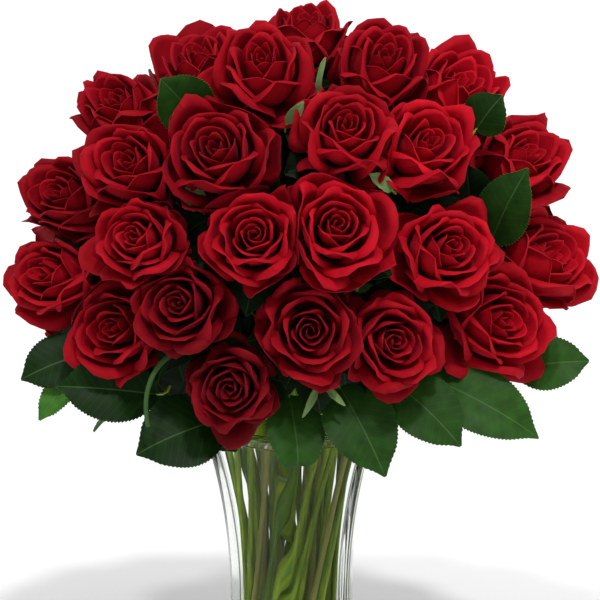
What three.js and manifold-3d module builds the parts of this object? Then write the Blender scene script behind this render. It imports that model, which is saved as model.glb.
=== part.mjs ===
// Red roses in a flared, six-sided clear glass vase filled with water.
//
// Thirty-six open roses stand in a round dome over the vase. Every rose has its own stem, which
// runs straight through the water in a spiral bunch, fans out above the rim and ends in a green
// hip with five sepals, on which the bloom sits. Three neighbouring stems lean together at their
// cut ends, so each node of greenery holds three leafy stems. Toothed leaves make a collar under
// the dome, and a few stand up between the blooms.
//
// Millimetres, +Z up. The origin is the middle of the vase's foot, and -Y is the front.

import * as THREE from "three";
import { mergeVertices } from "three/addons/utils/BufferGeometryUtils.js";
import Module from "manifold-3d";

const wasm = await Module();
wasm.setup();

// Vase: a hexagon across its corners, narrow at the waist and flared at the rim.
const VASE_HEIGHT = 240;
const VASE_WAIST_HEIGHT = 100;
const VASE_WAIST_RADIUS = 55;
const VASE_FOOT_RADIUS = 60;
const VASE_RIM_RADIUS = 79;
const VASE_WALL = 11;
const VASE_FLOOR = 18;
const VASE_CORNER_BEVEL = 0.12;
const VASE_TURN = THREE.MathUtils.degToRad(-5);
const VASE_SIDES = 6;
const VASE_LEVELS = [50, 100, 140, 172, 204];
const GLASS_EDGE = 1.5;

// Water, with a small gap to the glass and to the stems.
const WATER_LEVEL = 229;
const WATER_GAP = 0.35;

// Stems: the bunch is a spiral, so its outer radius and turn differ at the foot and at the rim.
const STEM_RADIUS = 2.7;
const STEM_HOLE_RADIUS = STEM_RADIUS + 0.45;
const STEM_SIDES = 5;
const STEM_FOOT_HEIGHT = VASE_FLOOR + 4;
const STEM_STRAIGHT_TOP = 246;
const BUNCH_FOOT_RADIUS = 31;
const BUNCH_RIM_RADIUS = 48;
const BUNCH_TWIST = THREE.MathUtils.degToRad(80);
const FEET_SPACING = 4.2;
const TIERS = [
  { count: 18, share: 1 },
  { count: 12, share: 0.6 },
  { count: 6, share: 0.28 },
];
const RIM_BEND = 0.4;
const NECK_BEND = 0.18;
const STEM_CURVE_STEPS = 3;
const NECK_LENGTH = 14;

// Calyx under each bloom.
const HIP_RADIUS = 5.6;
const SEPAL_REACH = 25;
const SEPAL_DROP = 7;
const SEPAL_VALLEY = 4.6;
const SEPAL_TOP = 2;
const HIP_SHARE = 0.35;

// Blooms, before each one's own size is applied.
const BLOOM_HEIGHT = 50;
const BLOOM_COLUMNS = 15;
const BLOOM_SEAT_GAP = 0.4;
const CELL_RADIUS = 42;
const CELL_DEPTH = 20;
const CELL_GAP = 0.45;
const CELL_SOFTNESS = 3.5;
const CELL_REACH = 200;

// The blooms look away from the middle of the dome, those at the front also towards the viewer.
const DOME_FOCUS_HEIGHT = 290;
const SIDEWAYS_SHARE = 0.65;
const UPWARDS_SHARE = 0.65;
const MIDDLE_LEAN = -25;
const LEAN_CHANGE = 55;
const LEAN_DEPTH = 40;

// Leaf blades.
const LEAF_THICKNESS = 0.8;
const LEAF_TEETH = 4;
const LEAF_TOOTH_DEPTH = 0.12;
const LEAF_FOLD = 0.16;
const LEAF_ARCH = 0.12;
const STALK_RADIUS = 1.1;
const STALK_BEND = 0.4;
const STALK_END = 0.97;
const LEAF_TIP_HALF = 0.7;

// Each rose: the middle of its opening, its size, and the turn of its petals in degrees.
// The first twenty-four are those that show from the front, row by row from the top.
const ROSES = [
  { at: [10, -8, 561], size: 0.95, turn: 20 },
  { at: [-72, -12, 537], size: 1.0, turn: 75 },
  { at: [-23, -80, 537], size: 1.05, turn: 140 },
  { at: [73, -52, 539], size: 1.05, turn: 200 },
  { at: [136, -22, 518], size: 1.05, turn: 310 },
  { at: [-140, -38, 505], size: 0.95, turn: 35 },
  { at: [-127, -100, 463], size: 0.98, turn: 250 },
  { at: [-58, -126, 476], size: 1.1, turn: 110 },
  { at: [43, -120, 490], size: 1.0, turn: 320 },
  { at: [104, -98, 478], size: 1.05, turn: 15 },
  { at: [188, -28, 462], size: 1.0, turn: 90 },
  { at: [-182, -50, 432], size: 0.98, turn: 170 },
  { at: [-118, -135, 407], size: 0.95, turn: 60 },
  { at: [-29, -150, 412], size: 1.0, turn: 285 },
  { at: [35, -150, 419], size: 1.02, turn: 130 },
  { at: [122, -128, 398], size: 1.12, turn: 225 },
  { at: [212, -20, 378], size: 1.02, turn: 345 },
  { at: [-194, -58, 368], size: 0.95, turn: 50 },
  { at: [-140, -98, 331], size: 1.0, turn: 100 },
  { at: [-86, -142, 358], size: 0.95, turn: 190 },
  { at: [-47, -140, 294], size: 0.98, turn: 265 },
  { at: [15, -150, 340], size: 1.05, turn: 10 },
  { at: [78, -142, 328], size: 0.98, turn: 155 },
  { at: [166, -86, 336], size: 1.1, turn: 300 },
  { at: [-190, 12, 322], size: 1.0, turn: 80 },
  { at: [-185, 38, 408], size: 1.1, turn: 5 },
  { at: [-126, 48, 488], size: 1.1, turn: 215 },
  { at: [-46, 62, 528], size: 1.1, turn: 330 },
  { at: [48, 62, 532], size: 1.1, turn: 45 },
  { at: [134, 54, 480], size: 1.1, turn: 275 },
  { at: [190, 54, 404], size: 1.15, turn: 70 },
  { at: [-90, 108, 428], size: 1.15, turn: 160 },
  { at: [0, 126, 396], size: 1.15, turn: 120 },
  { at: [92, 108, 426], size: 1.15, turn: 240 },
  { at: [-104, 98, 328], size: 1.15, turn: 25 },
  { at: [118, 92, 325], size: 1.15, turn: 260 },
];

// Each leaf: the base and tip of its blade, its width and the way its upper face looks.
const LEAVES = [
  { base: [-152, -44, 304], tip: [-208, -64, 285], width: 42, face: [-0.4, -1, 0.4] },
  { base: [-160, -56, 292], tip: [-193, -68, 254], width: 30, face: [-0.4, -1, 0.1] },
  { base: [-107, -76, 258], tip: [-178, -88, 264], width: 44, face: [-0.2, -1, 0.4] },
  { base: [-53, -84, 268], tip: [-116, -110, 238], width: 56, face: [-0.3, -1, 0.5] },
  { base: [-66, -80, 266], tip: [-42, -96, 236], width: 40, face: [0.2, -1, 0.3] },
  { base: [-2, -88, 276], tip: [5, -118, 231], width: 42, face: [0.2, -1, 0.5] },
  { base: [36, -94, 284], tip: [70, -126, 224], width: 52, face: [0.1, -1, 0.5] },
  { base: [78, -90, 286], tip: [127, -112, 244], width: 50, face: [0.3, -1, 0.4] },
  { base: [112, -74, 271], tip: [187, -98, 246], width: 47, face: [0.2, -1, 0.5] },
  { base: [177, -46, 283], tip: [229, -56, 294], width: 38, face: [0.3, -1, 0.5] },
  { base: [-70, -54, 482], tip: [-101, -88, 518], width: 38, face: [-0.3, -1, 0.7] },
  { base: [152, -62, 392], tip: [175, -102, 453], width: 40, face: [-0.3, -1, 0.2] },
  { base: [8, 64, 456], tip: [-3, 108, 494], width: 40, face: [0, 1, -0.2] },
];

const GLASS = new THREE.MeshStandardMaterial({
  color: 0xe9f3f1,
  roughness: 0.02,
  metalness: 0,
  transparent: true,
  opacity: 0.35,
});
const WATER = new THREE.MeshStandardMaterial({
  color: 0xdfeeea,
  roughness: 0.02,
  metalness: 0,
  transparent: true,
  opacity: 0.3,
});
const PETALS = new THREE.MeshStandardMaterial({
  color: 0xa50516,
  roughness: 0.62,
  metalness: 0,
});
const GREENERY = new THREE.MeshStandardMaterial({
  color: 0x2c5a2a,
  roughness: 0.5,
  metalness: 0,
});

const UP = new THREE.Vector3(0, 0, 1);
const point = (xyz) => new THREE.Vector3(...xyz);
const TURN = 2 * Math.PI;

// A closed surface through rings of points, each ring running anticlockwise seen from its end.
// The quads in the crossed columns are split along their other diagonal.
function skin(rings, crossed = []) {
  const count = rings[0].length;
  const faces = [];
  for (let k = 0; k + 1 < rings.length; k++)
    for (let i = 0; i < count; i++) {
      const a = k * count + i;
      const b = k * count + ((i + 1) % count);
      if (crossed.includes(i)) {
        faces.push([a, b, a + count], [b, b + count, a + count]);
      } else {
        faces.push([a, b, b + count], [a, b + count, a + count]);
      }
    }
  const top = (rings.length - 1) * count;
  for (let i = 1; i + 1 < count; i++)
    faces.push([0, i + 1, i], [top, top + i, top + i + 1]);
  return surface(rings.flat(), faces);
}

function surface(points, faces) {
  const positions = points.flatMap((p) => [p.x, p.y, p.z]);
  const geometry = new THREE.BufferGeometry();
  geometry.setAttribute(
    "position",
    new THREE.Float32BufferAttribute(positions, 3),
  );
  geometry.setIndex(faces.flat());
  return geometry;
}

function toSolid(geometry) {
  const merged = mergeVertices(geometry, 1e-4);
  return new wasm.Manifold(
    new wasm.Mesh({
      numProp: 3,
      vertProperties: merged.attributes.position.array,
      triVerts: new Uint32Array(merged.index.array),
    }),
  );
}

function toGeometry(solid) {
  const { vertProperties, triVerts } = solid.getMesh();
  const geometry = new THREE.BufferGeometry();
  geometry.setAttribute(
    "position",
    new THREE.Float32BufferAttribute(vertProperties, 3),
  );
  geometry.setIndex(new THREE.BufferAttribute(triVerts, 1));
  return geometry;
}

function meshOf(name, geometry, material) {
  geometry.computeVertexNormals();
  const mesh = new THREE.Mesh(geometry, material);
  mesh.name = name;
  return mesh;
}

// Vase and water

// The vase's radius across its corners at a height: a gentle foot, a waist and a flared mouth.
function vaseRadius(height) {
  const flare = height > VASE_WAIST_HEIGHT;
  const reach = flare ? VASE_HEIGHT - VASE_WAIST_HEIGHT : VASE_WAIST_HEIGHT;
  const end = flare ? VASE_RIM_RADIUS : VASE_FOOT_RADIUS;
  const share = (height - VASE_WAIST_HEIGHT) / reach;
  return VASE_WAIST_RADIUS + (end - VASE_WAIST_RADIUS) * share * share;
}

// A hexagon with bevelled corners. Inset is measured square to its sides.
function hexagon(height, inset, radius = vaseRadius(height)) {
  const across = radius - inset / Math.cos(Math.PI / VASE_SIDES);
  const corners = Array.from({ length: VASE_SIDES }, (_, i) => {
    const angle = (i / VASE_SIDES) * TURN - Math.PI / 2 + VASE_TURN;
    return new THREE.Vector3(
      across * Math.cos(angle),
      across * Math.sin(angle),
      height,
    );
  });
  return corners.flatMap((corner, i) => [
    corner
      .clone()
      .lerp(corners.at(i - 1), VASE_CORNER_BEVEL),
    corner
      .clone()
      .lerp(corners[(i + 1) % VASE_SIDES], VASE_CORNER_BEVEL),
  ]);
}

function vaseGeometry() {
  const upwards = [GLASS_EDGE, ...VASE_LEVELS, VASE_HEIGHT - GLASS_EDGE];
  const downwards = [VASE_HEIGHT, ...VASE_LEVELS.toReversed(), VASE_FLOOR];
  return skin([
    hexagon(0, GLASS_EDGE),
    ...upwards.map((height) => hexagon(height, 0)),
    hexagon(VASE_HEIGHT, GLASS_EDGE),
    ...downwards.map((height) => hexagon(height, VASE_WALL)),
  ]);
}

function waterSolid(stems) {
  const inset = VASE_WALL + WATER_GAP;
  const levels = [VASE_FLOOR + WATER_GAP, ...VASE_LEVELS, VASE_HEIGHT];
  const filled = toSolid(skin(levels.map((height) => hexagon(height, inset))));
  const body = filled.trimByPlane([0, 0, -1], -WATER_LEVEL);
  return stems.reduce((water, stem) => {
    const hole = skin([
      ringAt(stem.at(STEM_FOOT_HEIGHT - WATER_GAP), UP, STEM_HOLE_RADIUS),
      ringAt(stem.at(STEM_STRAIGHT_TOP), UP, STEM_HOLE_RADIUS),
    ]);
    return water.subtract(toSolid(hole));
  }, body);
}

// Where each rose stands and looks

function outward([x, y, z]) {
  const lean = MIDDLE_LEAN + LEAN_CHANGE * Math.tanh(y / LEAN_DEPTH);
  return new THREE.Vector3(
    SIDEWAYS_SHARE * x,
    y + lean,
    UPWARDS_SHARE * (z - DOME_FOCUS_HEIGHT),
  ).normalize();
}

// A rose's frame: its foot under the petals, its axis and two directions square to it.
function roseFrame({ at, size, turn }) {
  const axis = outward(at);
  const side = new THREE.Vector3().crossVectors(UP, axis).normalize();
  side.applyAxisAngle(axis, THREE.MathUtils.degToRad(turn));
  const other = new THREE.Vector3().crossVectors(axis, side);
  const middle = point(at).addScaledVector(axis, -CELL_DEPTH * size);
  const seat = point(at).addScaledVector(axis, -BLOOM_HEIGHT * size);
  return { axis, side, other, middle, seat, size, reach: CELL_RADIUS * size };
}

function inFrame(frame, x, y, z) {
  return frame.seat
    .clone()
    .addScaledVector(frame.side, x)
    .addScaledVector(frame.other, y)
    .addScaledVector(frame.axis, z);
}

const FRAMES = ROSES.map(roseFrame);

// Petals press against their neighbours: each rose keeps to its own side of a soft wall that
// stands between it and every rose near it.
function pressed(own, p) {
  for (const frame of FRAMES) {
    const way = frame.middle.clone().sub(own.middle);
    const distance = way.length();
    if (frame === own || distance > CELL_REACH) continue;
    way.divideScalar(distance);
    const wall = (distance * own.reach) / (own.reach + frame.reach) - CELL_GAP;
    const room = wall - p.clone().sub(own.middle).dot(way);
    const kept = CELL_SOFTNESS * Math.log1p(Math.exp(room / CELL_SOFTNESS));
    p.addScaledVector(way, room - kept);
  }
  return p;
}

// Blooms

// From the seat over each layer of petals to the bud: radius, height, number of petals, where
// their edges start, how far each petal laps over the next, and how much its middle stands up.
const PETAL_LAYERS = [
  { radius: 7, height: 0, petals: 5, start: 0, lap: 0, lift: 0 },
  { radius: 27, height: 12, petals: 5, start: 0, lap: 3, lift: 0 },
  { radius: 47, height: 31, petals: 5, start: 0, lap: 10, lift: -5 },
  { radius: 27, height: 24, petals: 5, start: 0.33, lap: 2, lift: 0 },
  { radius: 35, height: 42, petals: 5, start: 0.33, lap: 8, lift: 4 },
  { radius: 21.5, height: 29, petals: 5, start: 0.67, lap: 2, lift: 0 },
  { radius: 24, height: 47, petals: 5, start: 0.67, lap: 5, lift: 4 },
  { radius: 12.5, height: 34, petals: 3, start: 0, lap: 1, lift: 0 },
  { radius: 11, height: 50, petals: 3, start: 0, lap: 5, lift: 2 },
];

function bloomGeometry(frame) {
  const rings = PETAL_LAYERS.map((layer) =>
    Array.from({ length: BLOOM_COLUMNS }, (_, i) => {
      const round = i / BLOOM_COLUMNS;
      const across = (round * layer.petals + layer.start) % 1;
      const radius = layer.radius + layer.lap * (across - 0.4);
      const height = layer.height + layer.lift * Math.sin(across * Math.PI);
      const x = radius * Math.cos(round * TURN) * frame.size;
      const y = radius * Math.sin(round * TURN) * frame.size;
      return pressed(frame, inFrame(frame, x, y, height * frame.size));
    }),
  );
  return skin(rings);
}

// Stems

// A ring of points round a stem, square to a direction or level where that is straight up.
function ringAt(centre, direction, radius, sides = STEM_SIDES) {
  const lead = new THREE.Vector3(1, 0, 0);
  lead.addScaledVector(direction, -lead.dot(direction)).normalize();
  const other = new THREE.Vector3().crossVectors(direction, lead);
  return Array.from({ length: sides }, (_, i) => {
    const angle = (i / sides) * TURN;
    return centre
      .clone()
      .addScaledVector(lead, radius * Math.cos(angle))
      .addScaledVector(other, radius * Math.sin(angle));
  });
}

// The bunch has three tiers of stems, one inside the other, evenly spaced round the middle. The
// lowest roses have the outermost stems. Three stems side by side stand with their feet together.
function bunchOfStems(frames) {
  const fall = ({ middle }) =>
    Math.hypot(middle.x, middle.y) / (middle.z - DOME_FOCUS_HEIGHT / 2);
  const azimuth = ({ middle }) => Math.atan2(middle.y, middle.x);
  const outermostFirst = frames.toSorted((a, b) => fall(b) - fall(a));
  const stems = [];
  for (const { count, share } of TIERS) {
    const tier = outermostFirst.splice(0, count);
    tier.sort((a, b) => azimuth(a) - azimuth(b));
    const slot = (i) => ((i + 0.5) / count) * TURN - Math.PI;
    const turned =
      tier.reduce((sum, frame, i) => sum + azimuth(frame) - slot(i), 0) / count;
    tier.forEach((frame, i) => {
      const mate = i % 3;
      const footAngle = slot(i - mate + 1) + turned - BUNCH_TWIST;
      const foot = aroundAxis(
        share * BUNCH_FOOT_RADIUS,
        footAngle,
        STEM_FOOT_HEIGHT,
      );
      foot.x -= (mate - 1) * FEET_SPACING * Math.sin(footAngle);
      foot.y += (mate - 1) * FEET_SPACING * Math.cos(footAngle);
      const top = aroundAxis(
        share * BUNCH_RIM_RADIUS,
        slot(i) + turned,
        STEM_STRAIGHT_TOP,
      );
      stems.push(stemPath(frame, foot, top));
    });
  }
  return stems;
}

function aroundAxis(radius, angle, height) {
  const x = radius * Math.cos(angle);
  const y = radius * Math.sin(angle);
  return new THREE.Vector3(x, y, height);
}

function stemPath(frame, foot, top) {
  const rise = STEM_STRAIGHT_TOP - STEM_FOOT_HEIGHT;
  const at = (height) =>
    foot.clone().lerp(top, (height - STEM_FOOT_HEIGHT) / rise);
  const neck = frame.seat.clone().addScaledVector(frame.axis, -NECK_LENGTH);
  const lean = top.clone().sub(foot).normalize();
  const reach = neck.distanceTo(top);
  const curve = new THREE.CubicBezierCurve3(
    top,
    top.clone().addScaledVector(lean, reach * RIM_BEND),
    neck.clone().addScaledVector(frame.axis, -reach * NECK_BEND),
    neck,
  );
  return { frame, foot, top, at, curve };
}

// One stem with its hip and sepals, as a single closed surface.
function stemGeometry({ frame, foot, top, curve }) {
  const rings = [ringAt(foot, UP, STEM_RADIUS), ringAt(top, UP, STEM_RADIUS)];
  for (let k = 1; k <= STEM_CURVE_STEPS; k++) {
    const t = k / STEM_CURVE_STEPS;
    rings.push(ringAt(curve.getPoint(t), curve.getTangent(t), STEM_RADIUS));
  }
  const hipHeight = -NECK_LENGTH * HIP_SHARE;
  const calyx = (radius, height, sides = STEM_SIDES, start = 0) =>
    Array.from({ length: sides }, (_, i) => {
      const lead = rings.at(-1)[0].clone().sub(curve.getPoint(1)).normalize();
      const swing = lead.applyAxisAngle(
        frame.axis,
        ((i + start) / sides) * TURN,
      );
      return inFrame(frame, 0, 0, height).addScaledVector(swing, radius);
    });
  const hip = calyx(HIP_RADIUS, hipHeight);
  const valleys = calyx(SEPAL_VALLEY, -SEPAL_TOP);
  const tips = calyx(SEPAL_REACH, -SEPAL_TOP - SEPAL_DROP, STEM_SIDES, 0.5);
  const seat = calyx(SEPAL_VALLEY, -BLOOM_SEAT_GAP);
  tips.forEach((tip) => pressed(frame, tip));

  const tube = [...rings, hip];
  const points = [...tube.flat(), ...valleys, ...tips, ...seat];
  const faces = [];
  const sides = STEM_SIDES;
  for (let k = 0; k + 1 < tube.length; k++)
    for (let i = 0; i < sides; i++) {
      const a = k * sides + i;
      const b = k * sides + ((i + 1) % sides);
      faces.push([a, b, b + sides], [a, b + sides, a + sides]);
    }
  const hipStart = (tube.length - 1) * sides;
  const valleyStart = hipStart + sides;
  const tipStart = valleyStart + sides;
  const seatStart = tipStart + sides;
  for (let i = 0; i < sides; i++) {
    const next = (i + 1) % sides;
    const tip = tipStart + i;
    faces.push([hipStart + i, hipStart + next, tip]);
    faces.push([hipStart + i, tip, valleyStart + i]);
    faces.push([hipStart + next, valleyStart + next, tip]);
    faces.push([valleyStart + i, tip, seatStart + i]);
    faces.push([tip, valleyStart + next, seatStart + next]);
    faces.push([tip, seatStart + next, seatStart + i]);
  }
  for (let i = 1; i + 1 < sides; i++) {
    faces.push([0, i + 1, i], [seatStart, seatStart + i, seatStart + i + 1]);
  }
  return surface(points, faces);
}

// Leaves

// A leaf on its stalk: it leaves the stem, and its blade is folded a little along the rib, arched
// towards its tip and toothed along both edges.
function leafGeometry(leaf, from) {
  const start = point(leaf.base);
  const end = point(leaf.tip);
  const face = point(leaf.face).normalize();
  const length = start.distanceTo(end);
  const arch = start
    .clone()
    .lerp(end, 0.5)
    .addScaledVector(face, length * LEAF_ARCH);
  const blade = new THREE.QuadraticBezierCurve3(start, arch, end);
  const bend = from.distanceTo(start) * STALK_BEND;
  const stalk = new THREE.QuadraticBezierCurve3(
    from,
    start.clone().addScaledVector(blade.getTangent(0), -bend),
    start,
  );
  const section = (curve, t, half, thickness) => {
    const middle = curve.getPoint(t);
    const along = curve.getTangent(t);
    const across = new THREE.Vector3().crossVectors(along, face).normalize();
    const raise = new THREE.Vector3().crossVectors(across, along);
    const spot = (side, lift) =>
      middle
        .clone()
        .addScaledVector(across, side * half)
        .addScaledVector(raise, Math.abs(side) * half * LEAF_FOLD + lift);
    const under = [1, 0, -1].map((side) => spot(side, -thickness / 2));
    const over = [-1, 0, 1].map((side) => spot(side, thickness / 2));
    return [...under, ...over];
  };
  const rings = [0, STALK_END].map((t) =>
    section(stalk, t, STALK_RADIUS, 2 * STALK_RADIUS),
  );
  const stations = 2 * LEAF_TEETH;
  for (let k = 1; k < stations; k++) {
    const t = k / stations;
    const oval = Math.sin(Math.PI * t ** 0.8) ** 0.8;
    const tooth = k % 2 ? 1 : 1 - LEAF_TOOTH_DEPTH;
    const half = (leaf.width / 2) * oval * tooth;
    rings.push(section(blade, t, half, LEAF_THICKNESS));
  }
  rings.push(section(blade, 1, LEAF_TIP_HALF, LEAF_THICKNESS));
  return skin(rings, [3, 4]);
}

// Leaves of the collar that the front doesn't show follow a rule round the back.
function collarLeaves() {
  const count = 8;
  return Array.from({ length: count }, (_, i) => {
    const angle = THREE.MathUtils.degToRad(4 + (172 * i) / (count - 1));
    const low = i % 2;
    const at = (radius, height, swing) => [
      radius * Math.cos(angle + swing),
      0.85 * radius * Math.sin(angle + swing),
      height,
    ];
    return {
      base: at(112, low ? 256 : 262, 0),
      tip: at(low ? 158 : 172, low ? 232 : 250, low ? 0.16 : -0.14),
      width: low ? 46 : 42,
      face: [Math.cos(angle), Math.sin(angle), 0.6],
    };
  });
}

// The stem that passes nearest to a leaf's base, and the point on it where the leaf grows.
function nearestStem(stems, base) {
  const wanted = point(base);
  const best = { distance: Infinity };
  for (const stem of stems) {
    const joints = stem.curve.getPoints(STEM_CURVE_STEPS);
    for (let k = 0; k < STEM_CURVE_STEPS; k++) {
      const stretch = new THREE.Line3(joints[k], joints[k + 1]);
      const from = stretch.closestPointToPoint(wanted, true, point([0, 0, 0]));
      const distance = from.distanceTo(wanted);
      if (distance < best.distance) Object.assign(best, { distance, stem, from });
    }
  }
  return best;
}

// The whole arrangement

const arrangement = new THREE.Group();
arrangement.add(meshOf("vase", vaseGeometry(), GLASS));

const stems = bunchOfStems(FRAMES);
arrangement.add(meshOf("water", toGeometry(waterSolid(stems)), WATER));

const label = (number) => String(number).padStart(2, "0");
FRAMES.forEach((frame, i) => {
  const name = `rose_bloom_${label(i + 1)}`;
  arrangement.add(meshOf(name, bloomGeometry(frame), PETALS));
});

const leavesOn = new Map(stems.map((stem) => [stem, []]));
for (const leaf of [...LEAVES, ...collarLeaves()]) {
  const { stem, from } = nearestStem(stems, leaf.base);
  leavesOn.get(stem).push(leafGeometry(leaf, from));
}
for (let i = 0; i < stems.length; i += 3) {
  const solid = stems
    .slice(i, i + 3)
    .flatMap((stem) => [stemGeometry(stem), ...leavesOn.get(stem)])
    .map(toSolid)
    .reduce((joined, part) => joined.add(part));
  const name = `leafy_stems_${label(i / 3 + 1)}`;
  arrangement.add(meshOf(name, toGeometry(solid), GREENERY));
}

export default arrangement;
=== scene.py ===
"""Red roses in a flared, six-sided clear glass vase of water.

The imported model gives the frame: thirty-six blooms, twelve groups of three leafy stems, the vase
and its water. Each is replaced by a finer piece of the same form: blooms built petal by petal,
round stems with thorns and sepals, toothed and veined leaves, and smooth glass and water.
Lengths are millimetres until a mesh is made, and +Z is up. The front looks along -Y.
"""

import math

import bpy
import numpy as np
from bpy.props import FloatProperty, FloatVectorProperty, IntProperty, PointerProperty
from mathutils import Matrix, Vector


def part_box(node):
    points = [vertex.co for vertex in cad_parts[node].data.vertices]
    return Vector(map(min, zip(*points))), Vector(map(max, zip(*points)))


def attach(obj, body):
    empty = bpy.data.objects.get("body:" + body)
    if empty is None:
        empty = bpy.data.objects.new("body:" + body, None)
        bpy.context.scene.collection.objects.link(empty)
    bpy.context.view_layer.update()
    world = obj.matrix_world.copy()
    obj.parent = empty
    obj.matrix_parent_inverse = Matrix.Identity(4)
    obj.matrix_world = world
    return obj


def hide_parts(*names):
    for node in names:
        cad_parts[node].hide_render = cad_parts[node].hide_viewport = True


bl_info = {
    "name": "Roses in a Vase",
    "version": (1, 0, 0),
    "blender": (4, 5, 0),
    "location": "3D View > Sidebar > Roses",
    "description": "Builds a round bunch of red roses in a glass vase",
    "category": "Add Mesh",
}

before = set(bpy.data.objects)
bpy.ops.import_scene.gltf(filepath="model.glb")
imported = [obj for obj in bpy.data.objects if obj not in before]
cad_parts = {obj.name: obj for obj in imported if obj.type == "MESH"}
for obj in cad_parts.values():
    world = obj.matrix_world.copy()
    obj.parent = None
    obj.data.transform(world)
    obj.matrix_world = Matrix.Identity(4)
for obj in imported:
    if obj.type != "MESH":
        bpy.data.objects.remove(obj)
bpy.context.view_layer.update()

MM = 0.001
BODY = "root"
UP = np.array([0.0, 0.0, 1.0])
GOLDEN_ANGLE = math.radians(137.5)

# Vase: a hexagon across its corners, narrow at the waist and flared at the rim. Its height and
# the water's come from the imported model.
VASE_HEIGHT = round(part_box("vase")[1][2] / MM)
WATER_LEVEL = round(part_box("water")[1][2] / MM)
VASE_WAIST_HEIGHT = 100
VASE_WAIST_RADIUS = 55
VASE_FOOT_RADIUS = 60
VASE_RIM_RADIUS = 79
VASE_WALL = 11
VASE_FLOOR = 18
VASE_CORNER_BEVEL = 0.12
VASE_FLAT_START = VASE_CORNER_BEVEL + 0.03
VASE_TURN = math.radians(-5)
VASE_SIDES = 6
FOOT_ROUND = 2
FOOT_FLAT_INSET = 6.0
FLOOR_ROUND = 5.0
FLOOR_FLAT_INSET = 9
WALL_RINGS = 34
# How far the water reaches into the glass, so that no air shows between the two.
WETTING = 0.12

# Stems: the bunch is a spiral, so its outer radius and turn differ at the foot and at the rim. It
# has tiers from the outside in, each with its number of stems and its share of that radius, and
# groups of neighbours whose feet stand together.
STEM_RADIUS = 2.7
BARK_GIRTH = 17
STEM_FOOT_HEIGHT = VASE_FLOOR + 4
STEM_STRAIGHT_TOP = 246
BUNCH_FOOT_RADIUS = 31
BUNCH_RIM_RADIUS = 48
BUNCH_TWIST = math.radians(80)
GROUP = 3
FEET_SPACING = 4.2
TIERS = ((18, 1.0), (12, 0.6), (6, 0.28))
RIM_BEND = 0.4
NECK_BEND = 0.18
NECK_LENGTH = 14
STEM_GIRTHS = (0.88, 1.0)
STEM_SIDES = 10
STRAIGHT_RINGS = 16
CURVED_RINGS = 22
FIRST_NODES = (20, 50)
NODE_SPACING = 55
NODE_SWELLING = 0.75
NODE_LENGTH = 5
THORNS_FROM = 260
THORN_SPACING = 42
GREENERY_SEED = 77
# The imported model's stems bend in so many straight stretches. A leaf grows on the nearest of them.
CAD_CURVE_STEPS = 3

# The green hip under a bloom: its levels along the rose's axis and its radii.
HIP_LEVELS = (-9.0, -6.5, -4.9, -3.2, -1.6, -0.5)
HIP_RADII = (3.4, 4.9, 5.5, 5.6, 5.2, 4.6)

# Sepals: their rows by share of the length, and their half width and thickness at such shares.
SEPALS = 5
SEPAL_LENGTH = 25
SEPAL_STEPS = (0, 0.1, 0.22, 0.36, 0.52, 0.68, 0.84, 1.0)
SEPAL_HALF_WIDTHS = ((0, 0.1, 0.25, 0.5, 0.8, 1), (3.0, 3.9, 3.8, 2.4, 1.1, 0.25))
SEPAL_THICKNESSES = ((0, 0.3, 1), (1.6, 1.0, 0.6))
SEPAL_CUP = 0.22

# A thorn's levels, as for one of this height: height above the bark, half its length and half its
# width there, and how far it hooks down. Its blunt tip is a small copy of the last level.
THORN_HEIGHT = 4.0
THORN_LEVELS = ((-0.8, 3.2, 1.4, 0), (1, 2.0, 0.9, 0.3), (2.6, 0.9, 0.5, 1.0))
THORN_HOOK = 2.4
THORN_TIP = 0.08
THORN_SIDES = 6

# Small leaves: how near another bloom must stand for the gap beside it to be filled, the angle
# that one leaf fills, and where the deeper ones stand along a stem's curve.
GAP_REACH = 105
GAP_LEAF_TURN = 1.2
DEEP_LEAF_PLACES = (0.35, 0.55, 0.75)

# Left to chance between two values: how far under the bloom a gap leaf starts, how far out and up
# its tip stands and its painted shade, and how far out and along the stem a deeper leaf's tip
# stands.
GAP_LEAF_STARTS = (14, 22)
GAP_LEAF_TIPS = (46, 54)
GAP_LEAF_LIFTS = (-4, 8)
GAP_LEAF_SHADES = (-1, -0.5)
DEEP_LEAF_TIPS = (38, 48)
DEEP_LEAF_RISES = (5, 25)
# The deeper leaves' painted shade.
DEEP_LEAF_SHADE = -0.6
SMALL_LEAF_WIDTH = 38
# A small leaf's base sits in its stem, at this share of the radius.
LEAF_ROOT = 0.8

# The back half of the collar has leaves by turns high and low. For each kind: the radius, height
# and swing of the tip, the height of the base, and the width.
COLLAR_LEAVES = 8
COLLAR_START = 4
COLLAR_SWEEP = 172
COLLAR_DEPTH = 0.85
COLLAR_BASE_RADIUS = 112
COLLAR_HIGH = (172, 250, -0.14, 262, 42)
COLLAR_LOW = (158, 232, 0.16, 256, 46)
COLLAR_SHADE = 0.4

# The stalk of a leaf: its radii at the stem and at the blade, and its tone in the bark's colours.
STALK_RADII = (1.6, 0.9)
STALK_RINGS = 9
STALK_SIDES = 7
STALK_TONE = 0.6

# Blooms: the cell that each one keeps to, before its own size is applied.
BLOOM_HEIGHT = 50
CELL_RADIUS = 42
CELL_DEPTH = 20
CELL_GAP = 0.45
CELL_SOFTNESS = 3.5
CELL_REACH = 200

# The blooms look away from the middle of the dome, those at the front also towards the viewer.
DOME_FOCUS_HEIGHT = 290
SIDEWAYS_SHARE = 0.65
UPWARDS_SHARE = 0.65
MIDDLE_LEAN = -25
LEAN_CHANGE = 55
LEAN_DEPTH = 40

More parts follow.
